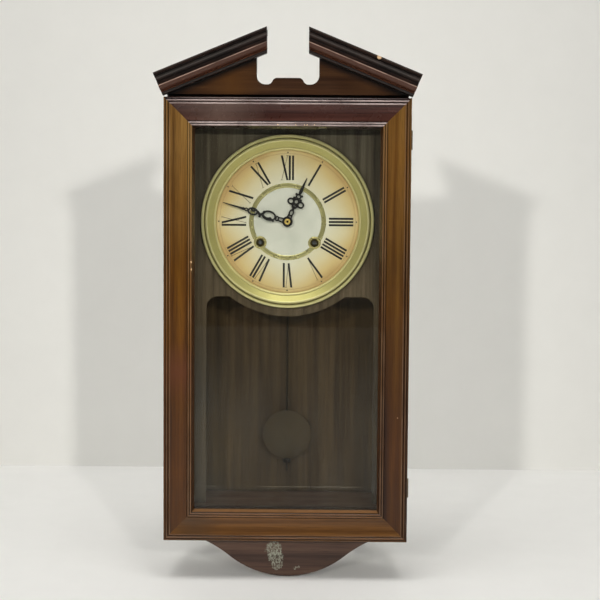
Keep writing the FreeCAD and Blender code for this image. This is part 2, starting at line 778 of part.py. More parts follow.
def stroke(points, line):
    """A bent bar of constant width through the given (x, z) points, with round ends."""
    bars = []
    for (x0, z0), (x1, z1) in zip(points, points[1:]):
        along = Vector(x1 - x0, 0, z1 - z0)
        side = Vector(-along.z, 0, along.x) * (line / 2 / along.Length)
        start, stop = Vector(x0, 0, z0), Vector(x1, 0, z1)
        bars.append(face_from([start - side, start + side, stop + side, stop - side]))
    return bars + [dot(x, z, line / 2) for x, z in points]


def hand(faces, bore, thick, start, angle):
    """A pierced hand cut from sheet, pointing up and then turned clockwise by angle."""
    solids = [face.extrude(Vector(0, -thick, 0)) for face in faces]
    solid = joined(*solids).cut(disc(bore, thick + 2, -1))
    solid.translate(Vector(0, -start, 0))
    feature = coded(solid)
    turned_to_time = Placement(Vector(0, 0, value("dial_z")), Rotation(Vector(0, 1, 0), angle))
    feature.Placement = turned_to_time.multiply(solid.Placement)
    return feature


TIME_MINUTES = 47.7
minute_angle = 6 * TIME_MINUTES
hour_angle = 30 * (12 + TIME_MINUTES / 60) - 360

minute_faces = [
    dot(0, 0, 6.6), *stroke([(-2.6, 5), (-1.8, 12)], 1.8), *stroke([(2.6, 5), (1.8, 12)], 1.8),
    loop(0, 13.5, 7.0, 5.4, 1.8), loop(0.5, 24.5, 13.0, 18.6, 2.2), dot(-2.9, 22.2, 2.3),
    *stroke([(-4.6, 17.5), (-2.6, 21.5), (-3.4, 27.5), (-1.0, 32.0)], 2.4),
    *stroke([(1.2, 32.0), (-1.6, 35.2), (0.9, 39.0)], 3.2), dot(-3.5, 35.6, 1.7),
    dot(3.2, 31.4, 1.8), loop(0, 45.4, 10.0, 13.8, 2.2),
    *stroke([(3.2, 41.4), (0.3, 45.0), (3.0, 48.8)], 2.0), loop(0, 54.0, 4.8, 5.0, 1.5),
    dot(0, 58, 1.9), taper(56, 84.5, 3.0, 0.9),
]
hour_faces = [
    dot(0, 0, 6.6), *stroke([(-2.6, 5), (-2.0, 9)], 1.8), *stroke([(2.6, 5), (2.0, 9)], 1.8),
    loop(0, 12.2, 6.8, 9.4, 1.9), *stroke([(0, 16), (0, 20)], 3.0),
    loop(0, 20.8, 7.0, 6.2, 1.9), loop(-6.6, 25.6, 9.2, 8.8, 2.1),
    loop(6.6, 25.6, 9.2, 8.8, 2.1), loop(0, 27.4, 7.8, 8.2, 2.0),
    loop(0, 34.4, 7.6, 7.2, 2.0), dot(-3.0, 22.4, 1.8), dot(3.0, 22.4, 1.8),
    dot(-4.2, 30.6, 2.0), dot(4.2, 30.6, 2.0), dot(-3.8, 36.4, 1.5), dot(3.8, 36.4, 1.5),
    face_from([Vector(-1.4, 0, 37), Vector(1.4, 0, 37), Vector(2.2, 0, 41.5),
               Vector(0.45, 0, 59.8), Vector(-0.45, 0, 59.8), Vector(-2.2, 0, 41.5)]),
]
keep(hand(minute_faces, 1.55, 0.9, 87, minute_angle), "minute_hand")
keep(hand(hour_faces, 3.45, 0.8, 84, hour_angle), "hour_hand")

nut = turned([
    ("0", "1.15"),
    ("1.55", "1.15"),
    ("1.55", "0"),
    ("3.8", "0"),
    ("3.8", "1.2"),
    ("1.2", "2.6", "3", "2.3"),
    ("0", "2.1"),
], "0", "87.95", "dial_z")
keep(nut, "hand_nut")

# ------------------------------------------------------------------ movement

# tooth counts: the centre arbor turns once an hour
GREAT, CENTRE_PINION = 78, 8
CENTRE, THIRD_PINION = 88, 8
THIRD, ESCAPE_PINION = 75, 8
ESCAPE = 30
CANNON, MINUTE, MINUTE_PINION, HOUR = 12, 36, 10, 40
STRIKE_GREAT, PIN_PINION = 78, 8
PIN_WHEEL, LOCK_PINION = 72, 8
LOCK_WHEEL, FLY_PINION = 64, 8

wind = Vector(value("wind_x"), 0, -value("wind_drop"))
back_in = value("rear_inner")
great_module = 2 * wind.Length / (GREAT + CENTRE_PINION)
centre_module, third_module = 0.50, 0.45
strike_module, pin_module, lock_module = 0.68, 0.50, 0.45
motion_distance = 14.4
cannon_module = 2 * motion_distance / (CANNON + MINUTE)
hour_module = 2 * motion_distance / (MINUTE_PINION + HOUR)


def neighbour(origin, direction, teeth, pinion, module):
    """Centre of the arbor whose pinion meshes with a wheel on the origin arbor."""
    return origin + polar(module * (teeth + pinion) / 2, direction)


centre_spot = Vector(0, 0, 0)
third_direction = math.radians(60)
third_spot = neighbour(centre_spot, third_direction, CENTRE, THIRD_PINION, centre_module)
escape_reach = third_module * (THIRD + ESCAPE_PINION) / 2
escape_spot = Vector(0, 0, third_spot.z + math.sqrt(escape_reach ** 2 - third_spot.x ** 2))
escape_direction = math.atan2(escape_spot.z - third_spot.z, escape_spot.x - third_spot.x)
great_direction = math.atan2(-wind.z, -wind.x)
strike_spot = Vector(-wind.x, 0, wind.z)
pin_direction = math.radians(100)
pin_spot = neighbour(strike_spot, pin_direction, STRIKE_GREAT, PIN_PINION, strike_module)
lock_direction = math.radians(80)
lock_spot = neighbour(pin_spot, lock_direction, PIN_WHEEL, LOCK_PINION, pin_module)
fly_direction = math.radians(60)
fly_spot = neighbour(lock_spot, fly_direction, LOCK_WHEEL, FLY_PINION, lock_module)
motion_direction = math.radians(-90)
motion_spot = polar(motion_distance, motion_direction)
hammer_spot = Vector(-57, 0, 20)
verge_spot = Vector(0, 0, value("verge_z"))
pillar_spots = [Vector(x, 0, z) for x in (-70, 70) for z in (60, -72)]

pivot, arbor, winder = value("pivot"), value("arbor"), value("wind_arbor")
front_in = value("front_inner")
rear, front = value("rear_plate"), value("front_plate")
HAIR = 0.05


def plate(label, start, stop, holes, studs=()):
    """A movement plate with its pivot holes."""
    shape = Part.makeBox(2 * value("plate_half"), stop - start,
                         value("plate_up") + value("plate_down"),
                         Vector(-value("plate_half"), -stop, -value("plate_down")))
    tools = [Part.makeCylinder(radius, stop - start + 2, Vector(at.x, -start + 1, at.z),
                               Vector(0, -1, 0)) for at, radius in holes]
    shape = shape.cut(tools)
    for stud in studs:
        shape = shape.fuse(stud)
    keep(set_at(shape, 0, 0), label)


train_pivots = [(third_spot, pivot), (escape_spot, pivot), (pin_spot, pivot),
                (lock_spot, pivot), (fly_spot, pivot)]
both_plates = [(at, radius + HAIR) for at, radius in train_pivots]
both_plates += [(at, 1.5) for at in pillar_spots]
plate("plate_back", rear, back_in, both_plates + [
    (centre_spot, pivot + HAIR), (wind, 1.5 + HAIR), (strike_spot, 1.5 + HAIR),
    (verge_spot, 1.5 + HAIR), (hammer_spot, 1.5 + HAIR)])
minute_stud = shaft(1.2, front - 1, front + 9.4)
minute_stud.translate(motion_spot)
plate("plate_front", front_in, front, both_plates + [
    (centre_spot, arbor + HAIR), (wind, winder + HAIR), (strike_spot, winder + HAIR),
    (verge_spot, pivot + HAIR), (hammer_spot, pivot + HAIR)], [minute_stud])

pillars = []
nuts = []
for at in pillar_spots:
    x, z = f"{at.x}", f"dial_z + {at.z}"
    pillars.append(fuse(rod(x, z, ("rear_inner", "front_inner"), "3.2"),
                        rod(x, z, ("rear_plate", "front_plate + 2.9"), "1.45")))
    nuts.append(cut(rod(x, z, ("front_plate", "front_plate + 2.4"), "3.6", sides=6),
                    rod(x, z, ("front_plate - 1", "front_plate + 4"), "1.5")))
keep(group(pillars), "pillars")
keep(group(nuts), "pillar_nuts")

straps = []
for side in (-1, 1):
    low, high = ("dial_z - 70", "dial_z + 55")
    web = ("-73", "-71") if side < 0 else ("71", "73")
    flange = ("-73", "-64") if side < 0 else ("64", "73")
    strap = fuse(block(web, ("back_thick", "rear_plate"), (low, high)),
                 block(flange, ("back_thick", "back_thick + 2.8"), (low, high)),
                 block(flange, ("rear_plate - 2", "rear_plate"), (low, high)))
    holes = [screw_hole(*where) for where in bracket_screws if float(where[0]) * side > 0]
    straps.append(cut(strap, *holes))
keep(group(straps), "movement_brackets")


def wheel_on(at, label, *shapes):
    keep(set_at(joined(*shapes), at.x, at.z), label)


def crossed_gear(teeth, module, thick, start, phase, hub, spokes, width):
    body = gear(teeth, module, thick, start, phase)
    rim = module * teeth / 2 - 3.2 * module - 1.2
    return crossed(body, hub, rim, spokes, width, thick, start)


def click_work(start, reach):
    """A click riveted to the great wheel, resting just clear of the ratchet."""
    body = Part.makeBox(9, 1.6, 3.4, Vector(reach, -start - 1.6, -1.7))
    rivet = Part.makeCylinder(1.1, 2.2, Vector(reach + 6.5, -start, 0), Vector(0, -1, 0))
    return body.fuse(rivet)


def winding_arbor(at, label, lean):
    """Arbor with its ratchet, hook collar and the square that takes the key."""
    square = Part.makeBox(4.0, 13.5, 4.0, Vector(-2.0, -79.5, -2.0))
    wheel_on(at, label,
             shaft(1.5, rear + 0.2, back_in + 0.4), shaft(winder, back_in + 0.3, front),
             saw_wheel(20, 7.6, 9.4, 1.8, back_in + 5.6, lean), square)


great_phase = 0.0
centre_phase = mesh_phase(CENTRE_PINION, GREAT, great_phase, great_direction)
third_phase = mesh_phase(THIRD_PINION, CENTRE, 0.0, third_direction)
escape_phase = mesh_phase(ESCAPE_PINION, THIRD, 0.0, escape_direction)


def great_wheel(teeth, module, phase):
    wheel = crossed_gear(teeth, module, 2.2, back_in + 2.8, phase, 12.5, 5, 4.5)
    click = click_work(back_in + 5.0, 9.8)
    wheel = wheel.fuse(click)
    return wheel.cut(shaft(winder + HAIR, back_in, back_in + 9))


keep(set_at(great_wheel(GREAT, great_module, great_phase), wind.x, wind.z), "time_great_wheel")
winding_arbor(wind, "time_arbor", 0.1)
wheel_on(centre_spot, "center_wheel",
         shaft(pivot, rear, back_in + 1), shaft(arbor, back_in + 0.3, 89.0),
         gear(CENTRE_PINION, great_module, 4.4, back_in + 1.6, centre_phase, 0.7, 0.8),
         crossed_gear(CENTRE, centre_module, 1.3, back_in + 24.4, 0.0, 4.5, 5, 2.4))
wheel_on(third_spot, "third_wheel",
         shaft(pivot, rear, front), shaft(arbor - 0.3, back_in + 0.3, front_in - 0.3),
         gear(THIRD_PINION, centre_module, 2.9, back_in + 23.6, third_phase, 0.7, 0.8),
         crossed_gear(THIRD, third_module, 1.2, back_in + 14, 0.0, 3.6, 5, 2.0))
escape_teeth = saw_wheel(ESCAPE, 12.4, 14.0, 1.2, back_in + 8, 0.35)
wheel_on(escape_spot, "escape_wheel",
         shaft(pivot, rear, front), shaft(arbor - 0.3, back_in + 0.3, front_in - 0.3),
         gear(ESCAPE_PINION, third_module, 3.2, back_in + 13, escape_phase, 0.7, 0.8),
         crossed(escape_teeth, 3.2, 10.8, 5, 1.8, 1.2, back_in + 8))

# motion work behind the dial
cannon_phase = 0.0
minute_phase = mesh_phase(MINUTE, CANNON, cannon_phase, motion_direction)
hour_phase = mesh_phase(HOUR, MINUTE_PINION, 0.0, math.radians(90))
cannon = joined(shaft(2.4, front + 0.5, 87.0),
                gear(CANNON, cannon_module, 3.0, front + 1.5, cannon_phase, 0.7, 0.8))
keep(set_at(cannon.cut(shaft(arbor + 0.02, front, 92)), 0, 0), "cannon_pinion")
minute_wheel = joined(gear(MINUTE, cannon_module, 1.4, front + 2.2, minute_phase),
                      shaft(2.1, front + 0.8, front + 8.6),
                      gear(MINUTE_PINION, hour_module, 3.6, front + 4.6, 0.0, 0.7, 0.8))
keep(set_at(minute_wheel.cut(shaft(1.25, front, front + 9)), motion_spot.x, motion_spot.z),
     "minute_wheel")
hour_wheel = joined(gear(HOUR, hour_module, 1.4, front + 5.8, hour_phase),
                    shaft(3.4, front + 5.0, 84.7))
keep(set_at(hour_wheel.cut(shaft(2.45, front, 90)), 0, 0), "hour_wheel")

# the mainsprings, half run down
springs = []
for at in (wind, strike_spot):
    springs.append(set_at(spiral(4.2, 24.0, 6, 0.5, 11, back_in + 8.4), at.x, at.z))
keep(group(springs), "mainsprings")

# ------------------------------------------------------------ strike train

pin_phase = mesh_phase(PIN_PINION, STRIKE_GREAT, 0.0, pin_direction)
lock_phase = mesh_phase(LOCK_PINION, PIN_WHEEL, 0.0, lock_direction)
fly_phase = mesh_phase(FLY_PINION, LOCK_WHEEL, 0.0, fly_direction)
keep(set_at(great_wheel(STRIKE_GREAT, strike_module, 0.0), strike_spot.x, strike_spot.z),
     "strike_great_wheel")
winding_arbor(strike_spot, "strike_arbor", 0.1)
lifting_pins = []
for k in range(8):
    at = polar(13.2, 2 * math.pi * k / 8)
    lifting_pins.append(Part.makeCylinder(0.6, 3.2, Vector(at.x, -back_in - 20, at.z),
                                          Vector(0, -1, 0)))
wheel_on(pin_spot, "pin_wheel",
         shaft(pivot, rear, front), shaft(arbor - 0.3, back_in + 0.3, front_in - 0.3),
         gear(PIN_PINION, strike_module, 4.0, back_in + 1.9, pin_phase, 0.7, 0.8),
         crossed_gear(PIN_WHEEL, pin_module, 1.3, back_in + 22.2, 0.0, 4.0, 4, 5.0),
         disc(14.2, 1.3, back_in + 22.2).cut(disc(12.2, 1.3, back_in + 22.2)), *lifting_pins)
wheel_on(lock_spot, "locking_wheel",
         shaft(pivot, rear, front), shaft(arbor - 0.3, back_in + 0.3, front_in - 0.3),
         gear(LOCK_PINION, pin_module, 2.8, back_in + 21.4, lock_phase, 0.7, 0.8),
         crossed_gear(LOCK_WHEEL, lock_module, 1.2, back_in + 12, 0.0, 3.4, 4, 2.0))
fan = Part.makeBox(20, 9, 0.6, Vector(-10, -back_in - 24, -0.3))
wheel_on(fly_spot, "fly",
         shaft(pivot, rear, front), shaft(arbor - 0.3, back_in + 0.3, front_in - 0.3),
         gear(FLY_PINION, lock_module, 3.0, back_in + 11.2, fly_phase, 0.7, 0.8), fan)

hammer_head = Part.makeCylinder(4.6, 9.5, Vector(-2.0, -17.0, -50), Vector(1, 0, 0))
tail = Part.makeBox(10.2, 1.8, 2.4, Vector(0, -back_in - 21.8, -1.2))
tail.rotate(Vector(0, 0, 0), Vector(0, 1, 0), 45)
hammer = joined(shaft(1.5, 20.5, front_in - 0.3), shaft(pivot, front_in - 1, front),
                Part.makeBox(4.0, 2.0, 52.0, Vector(-2.0, -24.0, -52.0)),
                Part.makeBox(4.0, 6.0, 4.0, Vector(-2.0, -23.0, -52.0)), hammer_head,
                tail)
keep(set_at(hammer, hammer_spot.x, hammer_spot.z), "hammer")

gong_z = "dial_z - gong_drop"
gong_base = cut(block(("-9", "9"), ("back_thick", "17.8"), (f"{gong_z} - 9", f"{gong_z} + 9")),
                screw_hole(*gong_screw))
keep(gong_base, "gong_block")
gong_coil = spiral(value("gong_inner"), value("gong_outer"), 4, 1.6, 3.4, 12.4)
foot = Part.makeBox(4.6, 3.4, 2.0, Vector(9, -15.8, 0))
keep(set_at(gong_coil.fuse(foot), 0, -value("gong_drop")), "gong")

# ------------------------------------------------ escapement and the pendulum

crown = joined(Part.makeBox(17.0, 1.4, 3.0, Vector(-8.5, -back_in - 9.3, -3.0)),
               Part.makeBox(2.0, 1.4, 6.4, Vector(-9.6, -back_in - 9.3, -7.6)),
               Part.makeBox(2.0, 1.4, 6.4, Vector(7.6, -back_in - 9.3, -7.6)))
crown.translate(verge_spot)
crown = crown.cut(Part.makeCylinder(14.4, 3, Vector(escape_spot.x, -back_in - 7.5, escape_spot.z),
                                    Vector(0, -1, 0)))
crown.translate(verge_spot * -1)
crutch_arm = Part.makeBox(3.0, 1.4, 70.0, Vector(-1.5, -29.9, -70.0))
prongs = [Part.makeBox(1.4, 7.6, 5.0, Vector(x, -29.9, -70.0)) for x in (-3.0, 1.6)]
yoke = Part.makeBox(6.0, 1.4, 5.0, Vector(-3.0, -29.9, -70.0))
verge = joined(shaft(1.5, 28.5, front_in - 0.3), shaft(pivot, front_in - 1, front),
               crown, crutch_arm, yoke, *prongs)
keep(set_at(verge, 0, verge_spot.z), "verge")

verge_axis = "( dial_z + verge_z )"
cock = cut(fuse(block(("-8", "8"), ("31.5", "rear_plate"),
                      (f"{verge_axis} + 3", f"{verge_axis} + 10")),
                block(("-4.5", "4.5"), ("swing_depth - 2", "32"),
                      (f"{verge_axis} + 3", f"{verge_axis} + 9")),
                block(("-4.5", "4.5"), ("swing_depth - 2", "swing_depth + 2"),
                      (f"{verge_axis} - 0.5", f"{verge_axis} + 9"))),
           block(("-5", "5"), ("swing_depth - 0.4", "swing_depth + 0.4"),
                 (f"{verge_axis} - 1", f"{verge_axis} + 4.5")))
keep(cock, "suspension_cock")
spring_strip = fuse(block(("-3", "3"), ("swing_depth - 0.1", "swing_depth + 0.1"),
                          (f"{verge_axis} - 22", f"{verge_axis} + 3.5")),
                    block(("-3.5", "3.5"), ("swing_depth - 1.4", "swing_depth + 1.4"),
                          (f"{verge_axis} - 24", f"{verge_axis} - 19")))
keep(spring_strip, "suspension_spring")
bob_z = f"{verge_axis} - pendulum_length"
keep(post("0", "swing_depth", (f"{bob_z} - bob_radius - 16", f"{verge_axis} - 24"),
          "rod_radius"), "pendulum_rod")
bob = turned([
    ("0", "- bob_thick / 2"),
    ("bob_radius", "-0.8", "bob_radius * 0.62", "- bob_thick / 2 + 1.6"),
    ("bob_radius", "0.8"),
    ("0", "bob_thick / 2", "bob_radius * 0.62", "bob_thick / 2 - 1.6"),
], "0", "swing_depth", bob_z)
bob_bore = post("0", "swing_depth", (f"{bob_z} - bob_radius - 2", f"{bob_z} + bob_radius + 2"),
                "rod_radius + 0.1")
keep(cut(bob, bob_bore), "pendulum_bob")
nut_body = cut(post("0", "swing_depth", (f"{bob_z} - bob_radius - 5", f"{bob_z} - bob_radius"), "5"),
               post("0", "swing_depth", (f"{bob_z} - bob_radius - 6", f"{bob_z} - bob_radius + 1"),
                    "rod_radius + 0.05"))
keep(nut_body, "rating_nut")

# ------------------------------------------------------------- check and save

doc.recompute()
faults = [f"{item.Label}: {', '.join(item.State)}" for item in doc.Objects
          if "Invalid" in item.State or "Error" in item.State]
for piece in pieces:
    if piece.Shape.isNull() or not piece.Shape.isValid() or not piece.Shape.Solids:
        faults.append(f"{piece.Label}: shape not valid")
if faults:
    raise RuntimeError("; ".join(faults))
if len(pieces) > 60:
    raise RuntimeError(f"{len(pieces)} pieces is more than the 60 allowed")
for piece in pieces:
    piece.Shape.exportStep(os.path.join("parts", f"{piece.Label}.step"))
print(f"{len(pieces)} pieces saved")
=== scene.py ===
import math

import bmesh
import bpy
from mathutils import Euler, Matrix, Vector


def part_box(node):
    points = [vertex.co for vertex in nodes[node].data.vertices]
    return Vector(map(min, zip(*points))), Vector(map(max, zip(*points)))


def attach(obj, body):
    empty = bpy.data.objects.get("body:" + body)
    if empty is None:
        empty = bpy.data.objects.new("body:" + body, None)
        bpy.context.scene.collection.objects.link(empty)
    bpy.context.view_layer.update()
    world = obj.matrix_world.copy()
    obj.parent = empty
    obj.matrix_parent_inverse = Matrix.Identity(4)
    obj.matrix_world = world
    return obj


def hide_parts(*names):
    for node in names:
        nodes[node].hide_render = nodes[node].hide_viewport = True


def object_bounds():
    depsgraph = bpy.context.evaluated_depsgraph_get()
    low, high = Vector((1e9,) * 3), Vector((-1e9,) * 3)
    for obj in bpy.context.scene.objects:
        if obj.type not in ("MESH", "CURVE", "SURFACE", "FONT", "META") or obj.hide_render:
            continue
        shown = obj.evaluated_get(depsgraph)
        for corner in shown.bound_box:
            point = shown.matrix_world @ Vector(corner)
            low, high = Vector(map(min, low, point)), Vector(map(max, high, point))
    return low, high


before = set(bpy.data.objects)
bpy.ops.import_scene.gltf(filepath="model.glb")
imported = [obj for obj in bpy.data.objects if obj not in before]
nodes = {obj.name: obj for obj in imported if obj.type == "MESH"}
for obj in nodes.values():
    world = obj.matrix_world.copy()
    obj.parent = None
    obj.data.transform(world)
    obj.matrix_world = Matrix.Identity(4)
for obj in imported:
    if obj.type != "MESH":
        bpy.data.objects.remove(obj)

# A rectangular wall clock: stained case, glazed door, painted dial in a brass bezel.
# Everything is in metres in the CAD frame: X right, Z up, the front looks along -Y.

CAD_BOX = [list(corner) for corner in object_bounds()]


def middle(node):
    low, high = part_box(node)
    return (low + high) / 2


# ------------------------------------------------------------------ materials

class Paint:
    """One node material. Each call adds a node and returns its main output."""

    def __init__(self, name):
        self.material = bpy.data.materials.new(name)
        self.material.use_nodes = True
        self.tree = self.material.node_tree
        self.tree.nodes.clear()
        self.out = self.tree.nodes.new("ShaderNodeOutputMaterial")
        self.coords = self.tree.nodes.new("ShaderNodeTexCoord").outputs["Object"]

    def add(self, kind, inputs=None, output=0, **settings):
        node = self.tree.nodes.new("ShaderNode" + kind)
        for key, setting in settings.items():
            setattr(node, key, setting)
        for key, given in (inputs or {}).items():
            socket = node.inputs[key]
            if isinstance(given, bpy.types.NodeSocket):
                self.tree.links.new(given, socket)
            else:
                socket.default_value = given
        return node.outputs[output]

    def math(self, operation, a, b=0.0, clamp=False):
        return self.add("Math", {0: a, 1: b}, operation=operation, use_clamp=clamp)

    def scaled(self, scale, offset=(0, 0, 0)):
        return self.add("Mapping", {"Vector": self.coords, "Scale": scale, "Location": offset})

    def noise(self, scale, stretch=(1, 1, 1), detail=5.0, rough=0.55, warp=0.0, offset=(0, 0, 0)):
        """Fractal noise from 0 to 1; scale is in cells per metre."""
        return self.add("TexNoise", {
            "Vector": self.scaled([scale * s for s in stretch], offset),
            "Scale": 1.0, "Detail": detail, "Roughness": rough, "Distortion": warp})

    def ramp(self, value, *stops):
        """A colour or grey that follows value; each stop is (position, colour or grey)."""
        output = self.add("ValToRGB", {"Fac": value})
        band = output.node.color_ramp
        while len(band.elements) < len(stops):
            band.elements.new(0.5)
        for element, (position, colour) in zip(band.elements, stops):
            element.position = position
            grey = isinstance(colour, (int, float))
            element.color = (colour, colour, colour, 1) if grey else (*colour, 1)
        return output

    def mix(self, share, a, b, blend="MIX"):
        colours = [c if isinstance(c, bpy.types.NodeSocket) else (*c, 1) for c in (a, b)]
        return self.add("Mix", {0: share, 6: colours[0], 7: colours[1]}, output=2,
                        data_type="RGBA", blend_type=blend, clamp_factor=True)

    def reach(self, centre):
        """Distance from a point."""
        return self.add("VectorMath", {0: self.coords, 1: centre}, output=1,
                        operation="DISTANCE")

    def radius(self, centre):
        """Distance from the depth axis through centre."""
        offset = self.add("VectorMath", {0: self.coords, 1: centre}, operation="SUBTRACT")
        flat = self.add("VectorMath", {0: offset, 1: (1, 0, 1)}, operation="MULTIPLY")
        return self.add("VectorMath", {0: flat}, output=1, operation="LENGTH")

    def height(self):
        return self.add("SeparateXYZ", {0: self.coords}).node.outputs["Z"]

    def spot(self, centre, radius, ragged, scale=400.0):
        """1 inside a ragged patch round centre, 0 outside it."""
        edge = self.math("MULTIPLY", self.math("SUBTRACT", self.noise(scale), 0.5), ragged)
        return self.math("LESS_THAN", self.math("ADD", self.reach(centre), edge), radius)

    def bump(self, height, strength, distance):
        return self.add("Bump", {"Height": height, "Strength": strength, "Distance": distance})

    def finish(self, **inputs):
        """Closes the material with a principled surface; names use _ for spaces."""
        shader = self.add("BsdfPrincipled", {
            key.replace("_", " "): given for key, given in inputs.items()})
        self.tree.links.new(shader, self.out.inputs["Surface"])
        return self.material


BARE_WOOD = (0.62, 0.42, 0.24)
SCUFFED = (0.27, 0.28, 0.22)
# near black for painted shade and dirt, in the cornice quirks and under the cornices
SHADE_AND_DIRT = (0.004, 0.003, 0.003)
AXIS_STRETCH = {"x": (0.02, 1, 1), "y": (1, 0.02, 1), "z": (1, 1, 0.02)}


def wood(name, dark, mid, light, axis, rough=0.34, coat=0.25, wear=0.5, seed=0.0,
         chips=(), patches=(), painted_light_tints=(), stains_and_sheen=(), steps=(), quiet=False):
    """Stained, lacquered hardwood with its grain along one axis.

    chips are (centre, radius) flecks of bare wood, patches are (centre, radius) whitish
    scuffs, and shades are (height from 0 to 1 along the door, tint) stops of painted light
    and shade. stains are (centre, radius, colour) clouds, stained patches and one painted
    sheen, steps are functions that go over the colour, and quiet leaves the surface smooth,
    for wood in deep shade.
    """
    paint = Paint(name)
    stretch = AXIS_STRETCH[axis]
    shift = (seed, seed * 1.7, seed * 0.6)
    figure = paint.noise(130, stretch, 6, 0.58, 0.08, shift)
    colour = paint.ramp(figure, (0.32, dark), (0.50, mid), (0.70, light))
    streaks = paint.ramp(paint.noise(900, stretch, 3, 0.6, 0.0, shift), (0.36, 0.62), (0.56, 1.0))
    colour = paint.mix(0.55, colour, streaks, "MULTIPLY")
    clouds = paint.ramp(paint.noise(7, (1, 1, 1), 3, 0.5, 0.0, shift), (0.3, 0.78), (0.7, 1.12))
    colour = paint.mix(1.0, colour, clouds, "MULTIPLY")
    # painted light and shade: tints the wood lighter and darker by height along the door
    if painted_light_tints:
        share = paint.add("MapRange", {0: paint.height(), 1: door_low.z, 2: door_high.z})
        colour = paint.mix(1.0, colour, paint.ramp(share, *painted_light_tints), "MULTIPLY")
    pores = paint.ramp(paint.noise(2600, [s * 0.6 for s in stretch], 2, 0.5, 0.0, shift),
                       (0.34, 0.0), (0.42, 1.0))
    colour = paint.mix(paint.math("MULTIPLY", paint.math("SUBTRACT", 1.0, pores), 0.4),
                       colour, [c * 0.4 for c in dark])
    # rubbed edges show paler wood, and painted shade darkens the corners
    rounded = paint.add("Bevel", {"Radius": 0.00025}, samples=4)
    flat = paint.add("NewGeometry", output=1)
    turned = paint.add("VectorMath", {0: rounded, 1: flat}, output=1, operation="DOT_PRODUCT")
    rubbed = paint.math("MULTIPLY", paint.ramp(turned, (0.86, 1.0), (0.985, 0.0)),
                        paint.ramp(paint.noise(60, detail=5), (0.44, 0.0), (0.60, wear)))
    colour = paint.mix(rubbed, colour, [min(1, c * 2.4 + 0.03) for c in light])
    # painted shade: ambient occlusion darkens the wood in corners and recesses
    corner_shade = paint.add("AmbientOcclusion", {"Distance": 0.010}, output=1, samples=5)
    colour = paint.mix(paint.ramp(corner_shade, (0.40, 0.85), (0.80, 0.0)), colour,
                       [c * 0.18 for c in dark])
    # clouds of colour: stained patches, and on the top rail a painted sheen
    for centre, radius, cloud_colour in stains_and_sheen:
        cloud = paint.math("MULTIPLY", paint.noise(24, detail=4), radius)
        soft = paint.math("DIVIDE", paint.math("ADD", paint.reach(centre), cloud), radius * 1.8)
        colour = paint.mix(paint.ramp(soft, (0.25, 0.8), (1.0, 0.0)), colour, cloud_colour)
    for step in steps:
        colour = step(paint, colour)
    for centre, radius in chips:
        colour = paint.mix(paint.spot(centre, radius, radius * 1.6, 900), colour,
                           BARE_WOOD)
    for centre, radius in patches:
        mottle = paint.ramp(paint.noise(650, (1, 1, 0.6), 6, 0.7), (0.44, 0.0), (0.56, 0.8))
        scuff = paint.math("MULTIPLY", paint.spot(centre, radius, radius * 1.2, 330), mottle)
        colour = paint.mix(scuff, colour, SCUFFED)
    gloss = paint.ramp(paint.noise(35, detail=5), (0.3, rough - 0.06), (0.75, rough + 0.12))
    if quiet:
        return paint.finish(Base_Color=colour, Roughness=gloss, Specular_IOR_Level=0.2)
    relief = paint.add("Mix", {0: 0.35, 2: pores, 3: figure}, data_type="FLOAT")
    bumped = paint.add("Bump", {"Height": relief, "Strength": 0.2, "Distance": 0.0002,
                                "Normal": rounded})
    return paint.finish(Base_Color=colour, Roughness=gloss, Specular_IOR_Level=0.3,
                        Coat_Weight=coat, Coat_Roughness=0.10, Normal=bumped)


def brass(name, base, tarnish, rough=0.24, spots=0.5, seed=0.0, metal=1.0, steps=(),
          relief=0.03, grain=500):
    """Lacquered brass with cloudy tarnish, dark specks and an uneven gloss."""
    paint = Paint(name)
    shift = (seed, seed, seed)
    clouds = paint.ramp(paint.noise(22, detail=4, offset=shift), (0.35, 0.0), (0.75, 1.0))
    colour = paint.mix(clouds, base, tarnish)
    specks = paint.ramp(paint.noise(420, detail=2, offset=shift), (0.70, 0.0), (0.76, spots))
    colour = paint.mix(specks, colour, [c * 0.3 for c in tarnish])
    for step in steps:
        colour = step(paint, colour)
    unevenness = paint.noise(grain, detail=3, rough=0.6, offset=shift)
    gloss = paint.ramp(unevenness, (0.3, rough - 0.03), (0.8, rough + 0.06))
    return paint.finish(Base_Color=colour, Metallic=metal, Roughness=gloss,
                        Normal=paint.bump(unevenness, relief, 0.0001))


def steel(name, base, rough=0.32, blued=0.0):
    """Ground steel with faint rust in patches."""
    paint = Paint(name)
    grain = paint.noise(1300, (1, 0.06, 1), 3, 0.6)
    colour = paint.ramp(grain, (0.3, [c * 0.75 for c in base]), (0.7, base))
    rust = paint.ramp(paint.noise(160, detail=6), (0.62, 0.0), (0.78, 0.55))
    colour = paint.mix(rust, colour, (0.16, 0.07, 0.03))
    gloss = paint.ramp(grain, (0.2, rough), (0.8, rough + 0.18))
    return paint.finish(Base_Color=colour, Metallic=1.0 - blued, Roughness=gloss,
                        Normal=paint.bump(grain, 0.1, 0.0001))


